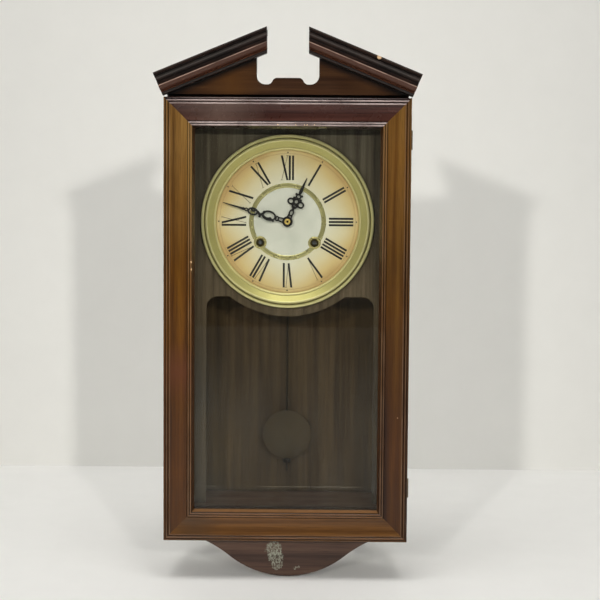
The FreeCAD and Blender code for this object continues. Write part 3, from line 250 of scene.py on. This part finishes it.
def dial_paint(name, centre, ring_inner, edge):
    """Cream enamel paint: grey-white inside the ring, ageing to orange tan at the edge."""
    paint = Paint(name)
    offset = paint.add("VectorMath", {0: paint.coords, 1: centre}, operation="SUBTRACT")
    split = paint.add("SeparateXYZ", {0: offset}).node.outputs
    reach = paint.math("SQRT", paint.math("ADD", paint.math("POWER", split["X"], 2.0),
                                          paint.math("POWER", split["Z"], 2.0)))
    share = paint.math("DIVIDE", reach, edge)
    # the ageing is strongest towards the diagonals
    diagonal = paint.math("DIVIDE", paint.math("MULTIPLY", split["X"], split["Z"]),
                          paint.math("ADD", paint.math("POWER", reach, 2.0), 1e-6))
    strong = paint.math("MULTIPLY", paint.math("ABSOLUTE", diagonal), 2.0)
    cloud = paint.noise(14, detail=3)
    push = paint.math("ADD", paint.math("MULTIPLY", strong, 0.15),
                      paint.math("MULTIPLY", cloud, 0.34))
    aged = paint.math("ADD", share, paint.math("SUBTRACT", push, 0.27))
    chapter = paint.ramp(aged, (0.50, (0.63, 0.60, 0.48)), (0.74, (0.60, 0.52, 0.33)),
                         (0.90, (0.55, 0.41, 0.19)), (1.0, (0.46, 0.31, 0.13)))
    # painted shadow: the dial is darker along the top, under the bezel
    top = paint.math("ADD", split["Z"], paint.math("MULTIPLY", cloud, 0.010))
    chapter = paint.mix(1.0, chapter, paint.ramp(
        paint.math("DIVIDE", top, edge), (0.78, (1.0, 1.0, 1.0)), (0.90, (0.93, 0.93, 0.92))),
        "MULTIPLY")
    inner = paint.ramp(paint.noise(40, detail=5), (0.35, (0.52, 0.52, 0.46)),
                       (0.65, (0.60, 0.59, 0.53)))
    inside = paint.math("LESS_THAN", reach, ring_inner)
    colour = paint.mix(inside, chapter, inner)
    foxing = paint.ramp(paint.noise(520, detail=2), (0.70, 0.0), (0.76, 0.35))
    colour = paint.mix(foxing, colour, (0.42, 0.27, 0.12))
    skin = paint.noise(700, detail=2)
    return paint.finish(Base_Color=colour, Roughness=0.42, Coat_Weight=0.25,
                        Coat_Roughness=0.2, Normal=paint.bump(skin, 0.05, 0.0001))


def black_paint(name, rough=0.4):
    paint = Paint(name)
    worn = paint.noise(800, detail=4)
    colour = paint.ramp(worn, (0.3, (0.006, 0.006, 0.007)), (0.75, (0.022, 0.021, 0.02)))
    gloss = paint.ramp(worn, (0.3, rough - 0.08), (0.8, rough + 0.15))
    return paint.finish(Base_Color=colour, Roughness=gloss, Normal=paint.bump(worn, 0.1, 0.0001))


def sepia_ink(name):
    paint = Paint(name)
    fade = paint.ramp(paint.noise(60, detail=4), (0.35, (0.10, 0.045, 0.02)),
                      (0.7, (0.24, 0.12, 0.055)))
    return paint.finish(Base_Color=fade, Roughness=0.55)


TIDE_MARK_Z = -0.4555


def window_glass(name):
    """Thin old sheet glass: clear, softly reflecting, with a film of dust low down."""
    paint = Paint(name)
    ripple = paint.bump(paint.noise(6, detail=1), 0.1, 0.001)
    clear = paint.add("BsdfTransparent", {"Color": (0.965, 0.975, 0.955, 1)})
    mirror = paint.add("BsdfGlossy", {"Color": (1, 1, 1, 1), "Roughness": 0.03, "Normal": ripple})
    # the same share of mirror from both sides, so that light from above gets in and out
    facing = paint.add("LayerWeight", output=1)
    share = paint.math("ADD", 0.012, paint.math("MULTIPLY", paint.math("POWER", facing, 5.0), 0.5))
    pane = paint.add("MixShader", {0: share, 1: clear, 2: mirror})
    tint = paint.ramp(paint.noise(9, (1, 1, 0.6), 3, 0.5), (0.40, (0.40, 0.42, 0.40)),
                      (0.60, (0.50, 0.38, 0.20)))
    dust = paint.add("BsdfDiffuse", {"Color": tint})
    height = paint.height()
    low = paint.add("MapRange", {0: height, 1: -0.20, 2: -0.50, 3: 0.25, 4: 1.0})
    smears = paint.ramp(paint.noise(16, (1, 1, 0.35), 6, 0.65), (0.38, 0.006), (0.72, 0.036))
    film = paint.math("MULTIPLY", smears, low)
    # a tide mark across the foot of the pane
    tide = paint.math("ABSOLUTE", paint.math("SUBTRACT", height, TIDE_MARK_Z))
    film = paint.math("ADD", film, paint.math("MULTIPLY", paint.ramp(
        paint.math("MULTIPLY", tide, 100.0), (0.03, 1.0), (0.07, 0.0)),
        paint.ramp(paint.noise(60, detail=5), (0.35, 0.01), (0.6, 0.11))))
    smudged = paint.add("MixShader", {0: film, 1: pane, 2: dust})
    paint.tree.links.new(smudged, paint.out.inputs["Surface"])
    return paint.material


def plain(name, colour, rough=0.9, variation=0.08):
    """Matt surfaces: putty, wall and table."""
    paint = Paint(name)
    cloud = paint.noise(20, detail=4)
    shade = paint.ramp(cloud, (0.3, [c * (1 - variation) for c in colour]), (0.7, colour))
    return paint.finish(Base_Color=shade, Roughness=rough,
                        Normal=paint.bump(paint.noise(900, detail=2), 0.05, 0.0002))


def one_sided(material):
    """Lets the backdrop be seen only from its front, so that views from behind stay open."""
    tree = material.node_tree
    out = tree.nodes["Material Output"].inputs["Surface"]
    front = out.links[0].from_socket
    switch = tree.nodes.new("ShaderNodeMixShader")
    clear = tree.nodes.new("ShaderNodeBsdfTransparent")
    tree.links.new(tree.nodes.new("ShaderNodeNewGeometry").outputs["Backfacing"],
                   switch.inputs[0])
    tree.links.new(front, switch.inputs[1])
    tree.links.new(clear.outputs["BSDF"], switch.inputs[2])
    tree.links.new(switch.outputs["Shader"], out)
    return material


def dress(material, *names):
    for name in names:
        nodes[name].data.materials.clear()
        nodes[name].data.materials.append(material)


# ------------------------------------------------------------- piece building

def new_piece(name, mesh, material, body, smooth_angle=None):
    piece = bpy.data.objects.new(name, mesh)
    bpy.context.collection.objects.link(piece)
    mesh.materials.append(material)
    if smooth_angle is not None:
        mesh.shade_smooth()
        mesh.set_sharp_from_angle(angle=math.radians(smooth_angle))
    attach(piece, body)
    return piece


def lathe_mesh(name, profile, centre, steps=160):
    """Turns (radius, forward) points round the depth axis at centre."""
    mesh = bpy.data.meshes.new(name)
    shape = bmesh.new()
    rows = []
    for k in range(steps):
        angle = 2 * math.pi * k / steps
        rows.append([shape.verts.new((centre.x + r * math.cos(angle), centre.y - f,
                                      centre.z + r * math.sin(angle))) for r, f in profile])
    for k in range(steps):
        near, far = rows[k], rows[(k + 1) % steps]
        for j in range(len(profile)):
            n = (j + 1) % len(profile)
            shape.faces.new((near[j], near[n], far[n], far[j]))
    bmesh.ops.recalc_face_normals(shape, faces=shape.faces)
    shape.to_mesh(mesh)
    shape.free()
    return mesh


def curve_points(stops, count=8):
    """Rounds a profile: (r, f) corners, or (r, f, mr, mf) for a bow through a middle point."""
    points = []
    for k, stop in enumerate(stops):
        if len(stop) == 4:
            r0, f0 = stops[k - 1][:2]
            r1, f1, mr, mf = stop
            cr, cf = 2 * mr - (r0 + r1) / 2, 2 * mf - (f0 + f1) / 2
            for step in range(1, count + 1):
                t = step / count
                points.append(((1 - t) ** 2 * r0 + 2 * t * (1 - t) * cr + t ** 2 * r1,
                               (1 - t) ** 2 * f0 + 2 * t * (1 - t) * cf + t ** 2 * f1))
        else:
            points.append(stop)
    return points


# ------------------------------------------------------------------ the case

door_low = Vector([min(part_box(n)[0][k] for n in ("door_stile_left", "door_rail_bottom"))
                   for k in range(3)])
door_high = Vector([max(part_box(n)[1][k] for n in ("door_stile_right", "door_rail_top"))
                    for k in range(3)])
front = door_low.y


def tinted(tones, factor):
    return [[c * factor for c in tone] for tone in tones]


SPAN = 0.040   # the ramps across a moulding run from 0 to this distance


def peaks(paint, distance, centres, half, soft=0.4):
    """1 on narrow lines at these distances in mm, fading out over the soft width."""
    stops = [(0.0, 0.0)]
    for centre in centres:
        for offset, level in ((-half - soft, 0.0), (-half, 1.0), (half, 1.0),
                              (half + soft, 0.0)):
            stops.append(((centre + offset) / 1000 / SPAN, level))
    return paint.ramp(distance, *stops)


def door_inset(paint):
    """Distance in from the door's outer edge; it turns the corner at the mitres."""
    split = paint.add("SeparateXYZ", {0: paint.coords}).node.outputs
    gaps = [paint.math("SUBTRACT", split["X"], door_low.x),
            paint.math("SUBTRACT", door_high.x, split["X"]),
            paint.math("SUBTRACT", split["Z"], door_low.z),
            paint.math("SUBTRACT", door_high.z, split["Z"])]
    nearest = gaps[0]
    for gap in gaps[1:]:
        nearest = paint.math("MINIMUM", nearest, gap)
    return paint.math("DIVIDE", nearest, SPAN)


DOOR_GROOVES = (2.6, 6.0, 29.3, 32.4, 35.2)   # in mm from the outer edge
DOOR_CRESTS = (3.9, 7.6, 31.0, 33.9)


def bead_highlights_and_shade(strength, crest_highlight_and_wear, lip_lighting, half=0.35):
    """Painted highlights and wear on the crests, painted shade and dirt in the grooves, and
    painted light and shade on the inner lip of the door moulding.
    """
    def step(paint, colour):
        across = door_inset(paint)
        worn = paint.ramp(paint.noise(28, detail=5), (0.36, 0.35 * strength), (0.62, strength))
        # painted shade and dirt: dark lines in the grooves
        groove_shade_and_dirt = peaks(paint, across, DOOR_GROOVES, 0.15)
        colour = paint.mix(paint.math("MULTIPLY", groove_shade_and_dirt, 0.8), colour, (0.008, 0.004, 0.003))
        # painted highlights and wear: pale lines on the bead crests, uneven along the moulding
        worn_crest_highlights = peaks(paint, across, DOOR_CRESTS, half)
        colour = paint.mix(paint.math("MULTIPLY", worn_crest_highlights, worn), colour, crest_highlight_and_wear)
        # painted light and shade: the inner lip takes a colour that stands for how it is lit
        inner = paint.ramp(across, (0.0355 / SPAN, 0.0), (0.0359 / SPAN, 1.0))
        return paint.mix(inner, colour, paint.mix(
            paint.noise(90, detail=4), lip_lighting, [c * 0.6 for c in lip_lighting]))
    return step


RAKE = math.radians(22.2)
rake_low, rake_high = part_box("cornice_right")


def below_rake(paint):
    """Distance square to the rake, down from the top edge of the cornices."""
    split = paint.add("SeparateXYZ", {0: paint.coords}).node.outputs
    outwards = paint.math("SUBTRACT", paint.math("ABSOLUTE", split["X"]), rake_low.x)
    edge = paint.math("SUBTRACT", rake_high.z,
                      paint.math("MULTIPLY", outwards, math.tan(RAKE)))
    drop = paint.math("SUBTRACT", edge, split["Z"])
    return paint.math("DIVIDE", paint.math("MULTIPLY", drop, math.cos(RAKE)), SPAN)


def cornice_highlights_and_shade(paint, colour):
    """Painted highlights and wear on the arrises, a redder lower member, and painted shade and
    dirt in the quirks of the cornice.
    """
    across = below_rake(paint)
    worn = paint.ramp(paint.noise(22, detail=5), (0.34, 0.25), (0.60, 0.85))
    colour = paint.mix(paint.math("MULTIPLY", peaks(paint, across, (20.6,), 3.2, 0.8), 0.85),
                       colour, (0.070, 0.025, 0.013))
    # painted shade and dirt: near-black lines in the quirks
    colour = paint.mix(paint.math("MULTIPLY", peaks(paint, across, (4.2, 11.4, 24.6), 0.4), 0.9),
                       colour, SHADE_AND_DIRT)
    # painted highlights with wear: faint grey lines along the upper arrises
    colour = paint.mix(paint.math("MULTIPLY", peaks(paint, across, (1.0, 7.4), 0.4), 0.30),
                       colour, (0.11, 0.090, 0.080))
    # painted highlight with wear: the bright line along the lower bead
    return paint.mix(paint.math("MULTIPLY", peaks(paint, across, (16.2,), 0.30), worn),
                     colour, (0.50, 0.33, 0.26))


def shadow_under_cornice(paint, colour):
    """Painted shadow, with old dirt, on the pediment under the cornices."""
    shade = paint.ramp(below_rake(paint), (0.0285 / SPAN, 0.96), (0.0365 / SPAN, 0.0))
    return paint.mix(shade, colour, SHADE_AND_DIRT)


stile_brown = [(0.050, 0.017, 0.002), (0.108, 0.041, 0.005), (0.165, 0.072, 0.010)]
rail_plum = [(0.018, 0.006, 0.005), (0.044, 0.015, 0.011), (0.080, 0.031, 0.023)]
rail_brown = [(0.042, 0.016, 0.003), (0.090, 0.036, 0.008), (0.150, 0.066, 0.018)]
cornice_plum = [(0.006, 0.003, 0.002), (0.013, 0.006, 0.004), (0.028, 0.013, 0.008)]
case_brown = [(0.024, 0.009, 0.004), (0.056, 0.023, 0.009), (0.092, 0.042, 0.017)]
board_brown = [(0.062, 0.042, 0.025), (0.120, 0.088, 0.055), (0.170, 0.128, 0.084)]
# painted light: the stiles grow lighter and paler towards the top and darker towards the bottom;
# the right one lightens less
left_stile_painted_light = ((0.0, (0.62, 0.52, 0.38)), (0.25, (0.64, 0.54, 0.38)),
               (0.63, (1.10, 1.09, 0.70)), (0.88, (1.50, 2.00, 3.9)), (1.0, (1.6, 2.1, 4.2)))
right_stile_painted_light = ((0.0, (0.60, 0.48, 0.34)), (0.25, (0.60, 0.48, 0.34)),
                (0.63, (0.78, 0.82, 0.95)), (0.88, (1.25, 1.36, 2.0)), (1.0, (1.3, 1.5, 2.4)))
# painted shade: the dial board darkens towards its foot, below the bezel, and towards its top
board_painted_shade = ((0.0, 0.38), (0.40, 0.48), (0.52, (0.78, 0.76, 0.74)),
                (0.80, (0.72, 0.80, 0.88)), (1.0, (0.55, 0.64, 0.74)))

left_chips = [((door_low.x + 0.0345, front + 0.003, -0.173), 0.0014),
              ((door_low.x + 0.0345, front + 0.003, -0.182), 0.0012)]
right_chips = [((door_high.x - 0.013, front + 0.003, -0.365), 0.0012),
               ((door_high.x - 0.001, front + 0.004, -0.361), 0.0016),
               ((door_high.x - 0.001, front + 0.003, -0.180), 0.0013)]
top_chips = [((x, front + 0.0025, door_high.z - 0.0335), 0.0008)
             for x in (-0.012, 0.010, 0.021, 0.024, 0.033)]

# painted light and shade on the left stile's inner lip
left_lip_lighting = (0.075, 0.032, 0.012)
dress(wood("wood_stile_left", *stile_brown, "z", seed=1.0, chips=left_chips,
           coat=0.15, painted_light_tints=left_stile_painted_light, steps=[bead_highlights_and_shade(0.40, (0.26, 0.17, 0.10), left_lip_lighting)],
           stains_and_sheen=[((door_low.x + 0.020, front, -0.31), 0.030, (0.085, 0.026, 0.010))]),
      "door_stile_left")
# painted shade: the right stile's wood is a darker copy of the left's
dress(wood("wood_stile_right", *tinted(stile_brown, 0.80), "z", seed=2.3, chips=right_chips,
           coat=0.15, painted_light_tints=right_stile_painted_light,
           steps=[bead_highlights_and_shade(0.40, (0.22, 0.14, 0.085), (0.070, 0.026, 0.008))]),
      "door_stile_right")
# painted highlights: the pale pink crest lines of the top rail; painted shade: its near-black
# inner lip, which faces down
dress(wood("wood_rail_top", *rail_plum, "x", rough=0.26, coat=0.6, seed=3.1, chips=top_chips,
           steps=[bead_highlights_and_shade(0.90, (0.46, 0.37, 0.35), (0.020, 0.009, 0.007), 0.60)],
           # painted sheen: the pale grey cloud on the left of the top rail stands in for a
           # reflection
           stains_and_sheen=[((-0.085, front, door_high.z - 0.018), 0.045, (0.105, 0.066, 0.052))]),
      "door_rail_top")
# painted light: the bright orange inner lip of the bottom rail, which faces up
dress(wood("wood_rail_bottom", *rail_brown, "x", seed=4.7,
           steps=[bead_highlights_and_shade(0.40, (0.22, 0.13, 0.085), (0.26, 0.125, 0.048))],
           stains_and_sheen=[((-0.115, front, door_low.z + 0.020), 0.030, (0.055, 0.028, 0.012))]),
      "door_rail_bottom")
cornice_chips = [((0.111, rake_low.y + 0.0005, 0.0775), 0.0026),
                 ((-0.1535, rake_low.y + 0.024, 0.0335), 0.0022)]
dress(wood("wood_cornice", *cornice_plum, "x", rough=0.34, coat=0.22, wear=0.8, seed=5.2,
           chips=cornice_chips, steps=[cornice_highlights_and_shade]), "cornice_left", "cornice_right")
dress(wood("wood_pediment", *tinted(case_brown, 0.8), "x", rough=0.40, seed=6.4,
           # painted shadow under the cornices
           steps=[shadow_under_cornice],
           stains_and_sheen=[((-0.070, -0.110, 0.050), 0.030, (0.085, 0.034, 0.008)),
                   ((0.100, -0.110, 0.045), 0.022, (0.060, 0.026, 0.010))]),
      "pediment_panel")
dress(wood("wood_sides", *case_brown, "z", seed=7.7), "side_left", "side_right")
dress(wood("wood_top", *case_brown, "x", seed=8.3), "top_board", "bottom_board")
apron_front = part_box("apron")[0].y
scuffs = [((-0.014, apron_front, -0.537), 0.010), ((-0.012, apron_front, -0.547), 0.009),
          ((-0.010, apron_front, -0.557), 0.007), ((0.013, apron_front, -0.5615), 0.0022),
          ((0.017, apron_front, -0.5600), 0.0016)]
dress(wood("wood_apron", (0.036, 0.017, 0.011), (0.078, 0.040, 0.026), (0.115, 0.064, 0.042),
           "x", rough=0.42, seed=9.1, patches=scuffs), "apron")
# painted shade on the dial board, by height
dress(wood("wood_mask", *board_brown, "z", rough=0.55, coat=0.05, wear=0.2, seed=10.9,
           painted_light_tints=board_painted_shade), "dial_board")
dress(wood("wood_back", (0.020, 0.012, 0.006), (0.045, 0.028, 0.014), (0.074, 0.046, 0.022),
           "z", rough=0.6, coat=0.0, wear=0.0, seed=12.5, quiet=True),
      "backboard", "glue_blocks")

# ------------------------------------------------------------- metal and glass

aged_brass = brass("brass_hardware", (0.16, 0.11, 0.055), (0.07, 0.045, 0.025), 0.42, 0.6)
dress(aged_brass, "hinge_case_leaves", "hinge_door_leaves", "door_screws", "case_screws",
      "catch_clip", "catch_tongue")
movement_brass = brass("brass_movement", (0.60, 0.44, 0.17), (0.40, 0.29, 0.11), 0.30, 0.3,
                       seed=3.0)
dress(movement_brass, "plate_back", "plate_front", "center_wheel", "third_wheel",
      "escape_wheel", "time_great_wheel", "strike_great_wheel", "pin_wheel", "locking_wheel",
      "fly", "minute_wheel", "hour_wheel", "cannon_pinion", "suspension_cock")
dress(steel("steel_ground", (0.42, 0.42, 0.43)), "pillars", "pillar_nuts", "time_arbor",
      "strike_arbor", "verge", "hammer", "suspension_spring")
dress(steel("steel_blued", (0.12, 0.13, 0.18), 0.28), "mainsprings", "gong")
dress(steel("steel_plate", (0.30, 0.29, 0.28), 0.5), "movement_brackets", "hanger_plate")
dress(steel("steel_dark", (0.035, 0.032, 0.030), 0.55), "pendulum_rod", "rating_nut")
dress(steel("iron_cast", (0.05, 0.05, 0.05), 0.7, 0.4), "gong_block")
dress(brass("brass_bob", (0.062, 0.041, 0.019), (0.040, 0.028, 0.014), 0.5, 0.0, seed=6.0,
            metal=0.4, relief=0.0), "pendulum_bob")
dress(window_glass("glass_sheet"), "door_glass")
dress(plain("putty_brown", (0.055, 0.030, 0.018)), "glass_putty")

# ------------------------------------------------------------------- the dial

dial_centre = middle("dial")
dial_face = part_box("dial")[0].y
DIAL_EDGE = 0.090   # where the bezel starts to cover the dial
ring_low, ring_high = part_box("dial_center_ring")
ring_outer = (ring_high.x - ring_low.x) / 2
RING_WIDTH = 0.0058
dress(dial_paint("paint_dial", dial_centre, ring_outer - RING_WIDTH / 2, DIAL_EDGE),
      "dial")
hand_paint = black_paint("paint_black")
dress(hand_paint, "minute_hand", "hour_hand")

bezel_low, bezel_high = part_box("bezel")
bezel_radius = (bezel_high.x - bezel_low.x) / 2
bezel_seat = Vector((dial_centre.x, bezel_high.y, dial_centre.z))


def bezel_highlights_and_shade(paint, colour):
    """Painted highlights on the crests and painted shade in the groove, following the radius."""
    inwards = paint.math("DIVIDE", paint.math("SUBTRACT", bezel_radius, paint.radius(bezel_seat)),
                         SPAN)
    colour = paint.mix(paint.math("MULTIPLY", peaks(paint, inwards, (11.6,), 2.8, 1.6), 0.30),
                       colour, (0.46, 0.41, 0.14))
    # painted highlights: near-white lines on the bezel's crests
    colour = paint.mix(paint.math("MULTIPLY", peaks(paint, inwards, (1.9, 7.4, 17.6), 1.0, 0.6),
                                  0.6), colour, (0.98, 0.90, 0.50))
    # painted shade: a dark line in the groove
    return paint.mix(paint.math("MULTIPLY", peaks(paint, inwards, (4.8,), 0.25), 0.85),
                     colour, (0.07, 0.055, 0.02))


bezel_brass = brass("brass_bezel", (0.61, 0.54, 0.22), (0.52, 0.46, 0.18), 0.42, 0.0, 1.5,
                    metal=0.64, steps=[bezel_highlights_and_shade], relief=0.0, grain=45)
DIAL_SEAT = 0.1003   # radius of the recess that the dial lies in
bezel_profile = curve_points([
    (bezel_radius, 0.0), (bezel_radius, 0.0030),
    (bezel_radius - 0.0042, 0.0068, bezel_radius - 0.0009, 0.0062),
    (bezel_radius - 0.0048, 0.0058), (bezel_radius - 0.0054, 0.0074),
    (bezel_radius - 0.0090, 0.0084, bezel_radius - 0.0072, 0.0093),
    (0.0934, 0.0038, 0.0965, 0.0059), (0.0903, 0.0030, 0.0919, 0.0046),
    (DIAL_EDGE, 0.0009), (DIAL_SEAT, 0.0009), (DIAL_SEAT, 0.0),
])
bezel = new_piece("bezel_ring", lathe_mesh("bezel_ring", bezel_profile, bezel_seat),
                  bezel_brass, "case", 32)
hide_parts("bezel")
dress(brass("brass_ring", (0.56, 0.51, 0.24), (0.44, 0.40, 0.18), 0.26, 0.0, 2.5, metal=0.6,
            relief=0.0, grain=45),
      "dial_center_ring")
dress(brass("brass_grommet", (0.66, 0.58, 0.26), (0.50, 0.42, 0.17), 0.24, 0.4, 4.0, metal=0.7),
      "winding_grommets")
nut_centre = middle("hand_nut")
DIMPLE_SPAN = 0.004   # the dimple ends at 0.4 of this radius


def nut_dimple_shade(paint, colour):
    """Painted shade in the dimple of the nut."""
    share = paint.math("DIVIDE", paint.radius(nut_centre), DIMPLE_SPAN)
    # painted shade: the dimple darkens towards the centre of the nut
    dimple_shade = paint.ramp(share, (0.26, 1.0), (0.40, 0.0))
    return paint.mix(dimple_shade, colour, (0.030, 0.020, 0.008))


dress(brass("brass_nut", (0.95, 0.70, 0.22), (0.70, 0.50, 0.15), 0.22, 0.0, 5.0, metal=0.55,
            steps=[nut_dimple_shade]),
      "hand_nut")

NUMERALS = ["XII", "I", "II", "III", "IIII", "V", "VI", "VII", "VIII", "IX", "X", "XI"]
INNER, OUTER = 0.0525, 0.0830
THICK, THIN, SERIF = 0.00255, 0.00055, 0.00045
FOOT = 0.0014          # half the length of a serif
NUMERAL_LIFT, TRACK_LIFT = 0.00008, 0.00006
TRACK_IN, TRACK_OUT, HAIRLINE = 0.0856, 0.0892, 0.00022
WIDTHS = {"I": 0.0041, "V": 0.0086, "X": 0.0090}


def bar(shape, start, stop, width, place):
    """A flat bar between two (across, up) points, put on the dial by place."""
    along = Vector(stop) - Vector(start)
    side = Vector((-along.y, along.x)).normalized() * width / 2
    corners = [Vector(start) - side, Vector(start) + side,
               Vector(stop) + side, Vector(stop) - side]
    shape.faces.new([shape.verts.new(place(corner)) for corner in corners])


def on_dial(degrees, lift):
    """Returns what puts an (across, up) point just over the dial, at a clock angle."""
    turn = Matrix.Rotation(-math.radians(degrees), 2)

    def place(point):
        flat = turn @ point
        return dial_centre.x + flat.x, dial_face - lift, dial_centre.z + flat.y

    return place


def numeral(shape, text, degrees):
    """Roman letters laid side by side at a clock angle, feet towards the centre."""
    place = on_dial(degrees, NUMERAL_LIFT)
    across = -sum(WIDTHS[letter] for letter in text) / 2
    for letter in text:
        width = WIDTHS[letter]
        x0, x1 = across + 0.0006, across + width - 0.0006
        centre = across + width / 2
        if letter == "I":
            bar(shape, (centre, INNER), (centre, OUTER), THICK, place)
            feet = [(centre, INNER), (centre, OUTER)]
        elif letter == "V":
            bar(shape, (x0 + 0.0005, OUTER), (centre + 0.0003, INNER), THICK, place)
            bar(shape, (x1 - 0.0002, OUTER), (centre + 0.0006, INNER), THIN, place)
            feet = [(x0 + 0.0005, OUTER), (x1 - 0.0002, OUTER)]
        else:
            bar(shape, (x0 + 0.0003, OUTER), (x1 - 0.0003, INNER), THICK, place)
            bar(shape, (x1 - 0.0003, OUTER), (x0 + 0.0003, INNER), THIN, place)
            feet = [(x, y) for x in (x0 + 0.0003, x1 - 0.0003) for y in (INNER, OUTER)]
        for x, y in feet:
            bar(shape, (x - FOOT, y), (x + FOOT, y), SERIF, place)
        across += width


def band(shape, radius, width, steps=180):
    """A thin printed circle."""
    rows = []
    for k in range(steps):
        angle = 2 * math.pi * k / steps
        rows.append([shape.verts.new((dial_centre.x + r * math.cos(angle), dial_face - TRACK_LIFT,
                                      dial_centre.z + r * math.sin(angle)))
                     for r in (radius - width / 2, radius + width / 2)])
    for k in range(steps):
        near, far = rows[k], rows[(k + 1) % steps]
        shape.faces.new((near[0], near[1], far[1], far[0]))


def printed(name, material, draw):
    """A flat print on the dial, facing the front."""
    mesh = bpy.data.meshes.new(name)
    shape = bmesh.new()
    draw(shape)
    bmesh.ops.recalc_face_normals(shape, faces=shape.faces)
    for face in shape.faces:
        if face.normal.y > 0:
            face.normal_flip()
    shape.to_mesh(mesh)
    shape.free()
    return new_piece(name, mesh, material, "case")


def draw_numerals(shape):
    for hour, text in enumerate(NUMERALS):
        numeral(shape, text, 30 * hour)


def draw_dots(shape):
    for hour in range(12):
        bar(shape, (0, 0.0862), (0, 0.0878), 0.0016, on_dial(30 * hour, NUMERAL_LIFT))


def draw_track(shape):
    band(shape, TRACK_OUT, HAIRLINE)
    band(shape, TRACK_IN, HAIRLINE)
    for minute in range(60):
        if minute % 5:
            bar(shape, (0, 0.0857), (0, 0.0868), HAIRLINE, on_dial(6 * minute, TRACK_LIFT))


ink = black_paint("ink_black", 0.5)
printed("dial_numerals", ink, draw_numerals)
printed("dial_dots", ink, draw_dots)
printed("dial_track", sepia_ink("ink_sepia"), draw_track)

WOODEN = ("door_s", "door_r", "cornice", "pediment", "apron", "side", "top", "bottom", "back")
for name, node in nodes.items():
    node.data.shade_smooth()
    crease = 20 if name.startswith(WOODEN) else 28
    node.data.set_sharp_from_angle(angle=math.radians(crease))

# --------------------------------------------------------------------- stage


def slab(name, corners, material):
    mesh = bpy.data.meshes.new(name)
    mesh.from_pydata(corners, [], [(0, 1, 2, 3)])
    mesh.materials.append(material)
    sheet = bpy.data.objects.new(name, mesh)
    bpy.context.collection.objects.link(sheet)


object_low = Vector(CAD_BOX[0])
TABLE_GAP = 0.0015
table_z = object_low.z - TABLE_GAP
wall_y = 0.60
REACH, TOP = 4, 3
slab("table", [(-REACH, -REACH, table_z), (REACH, -REACH, table_z),
               (REACH, wall_y, table_z), (-REACH, wall_y, table_z)],
     plain("stage_table", (0.87, 0.865, 0.845), 0.7, 0.02))
slab("backdrop", [(-REACH, wall_y, table_z), (REACH, wall_y, table_z),
                  (REACH, wall_y, TOP), (-REACH, wall_y, TOP)],
     one_sided(plain("stage_wall", (0.76, 0.755, 0.725), 0.9, 0.02)))


def area_light(name, spot, target, size, power, colour=(1, 1, 1), spread=180, shines=True):
    data = bpy.data.lights.new(name, "AREA")
    data.spread = math.radians(spread)
    data.shape = "RECTANGLE"
    data.size, data.size_y = size
    data.energy = power
    data.color = colour
    lamp = bpy.data.objects.new(name, data)
    bpy.context.collection.objects.link(lamp)
    lamp.location = spot
    lamp.visible_glossy = shines
    lamp.rotation_euler = (Vector(target) - Vector(spot)).to_track_quat("-Z", "Y").to_euler()


aim = (0, 0, -0.2)
area_light("key_right", (0.87, -3.0, 0.55), aim, (0.12, 0.12), 2.8, (1, 0.98, 0.94), 50, False)
area_light("key_left", (-0.95, -3.0, 0.58), aim, (0.12, 0.12), 2.8, (1, 0.98, 0.94), 50, False)
area_light("softbox_top", (-0.1, -0.7, 1.9), (0, 0.1, -0.2), (1.6, 1.0), 29, (1, 0.99, 0.96))

world = bpy.data.worlds.new("studio")
world.use_nodes = True
sky = world.node_tree
direction = sky.nodes.new("ShaderNodeTexCoord").outputs["Generated"]
facing = sky.nodes.new("ShaderNodeVectorMath")
facing.operation = "DOT_PRODUCT"
facing.inputs[1].default_value = (0, -1, 0)
sky.links.new(direction, facing.inputs[0])
room = sky.nodes.new("ShaderNodeValToRGB")
room.color_ramp.elements[0].position = 0.55
room.color_ramp.elements[0].color = (0.62, 0.63, 0.64, 1)
room.color_ramp.elements[1].position = 0.93
room.color_ramp.elements[1].color = (0.10, 0.095, 0.085, 1)
sky.links.new(facing.outputs["Value"], room.inputs["Fac"])
sky.links.new(room.outputs["Color"], sky.nodes["Background"].inputs["Color"])
sky.nodes["Background"].inputs["Strength"].default_value = 0.48
bpy.context.scene.world = world
bpy.context.scene.view_settings.view_transform = "Standard"

# -------------------------------------------------------------------- camera

camera_data = bpy.data.cameras.new("camera")
camera_data.sensor_width = 36
camera_data.lens = 72.3
camera = bpy.data.objects.new("camera", camera_data)
bpy.context.collection.objects.link(camera)
camera.location = (0.0285, -1.6069, -0.1297)
YAW, PITCH, ROLL = math.radians(-0.45), math.radians(-3.425), math.radians(0.411)
aimed = Euler((math.radians(90) + PITCH, 0, -YAW), "XYZ").to_matrix()
camera.rotation_euler = (aimed @ Matrix.Rotation(ROLL, 3, "Z")).to_euler()
bpy.context.scene.camera = camera
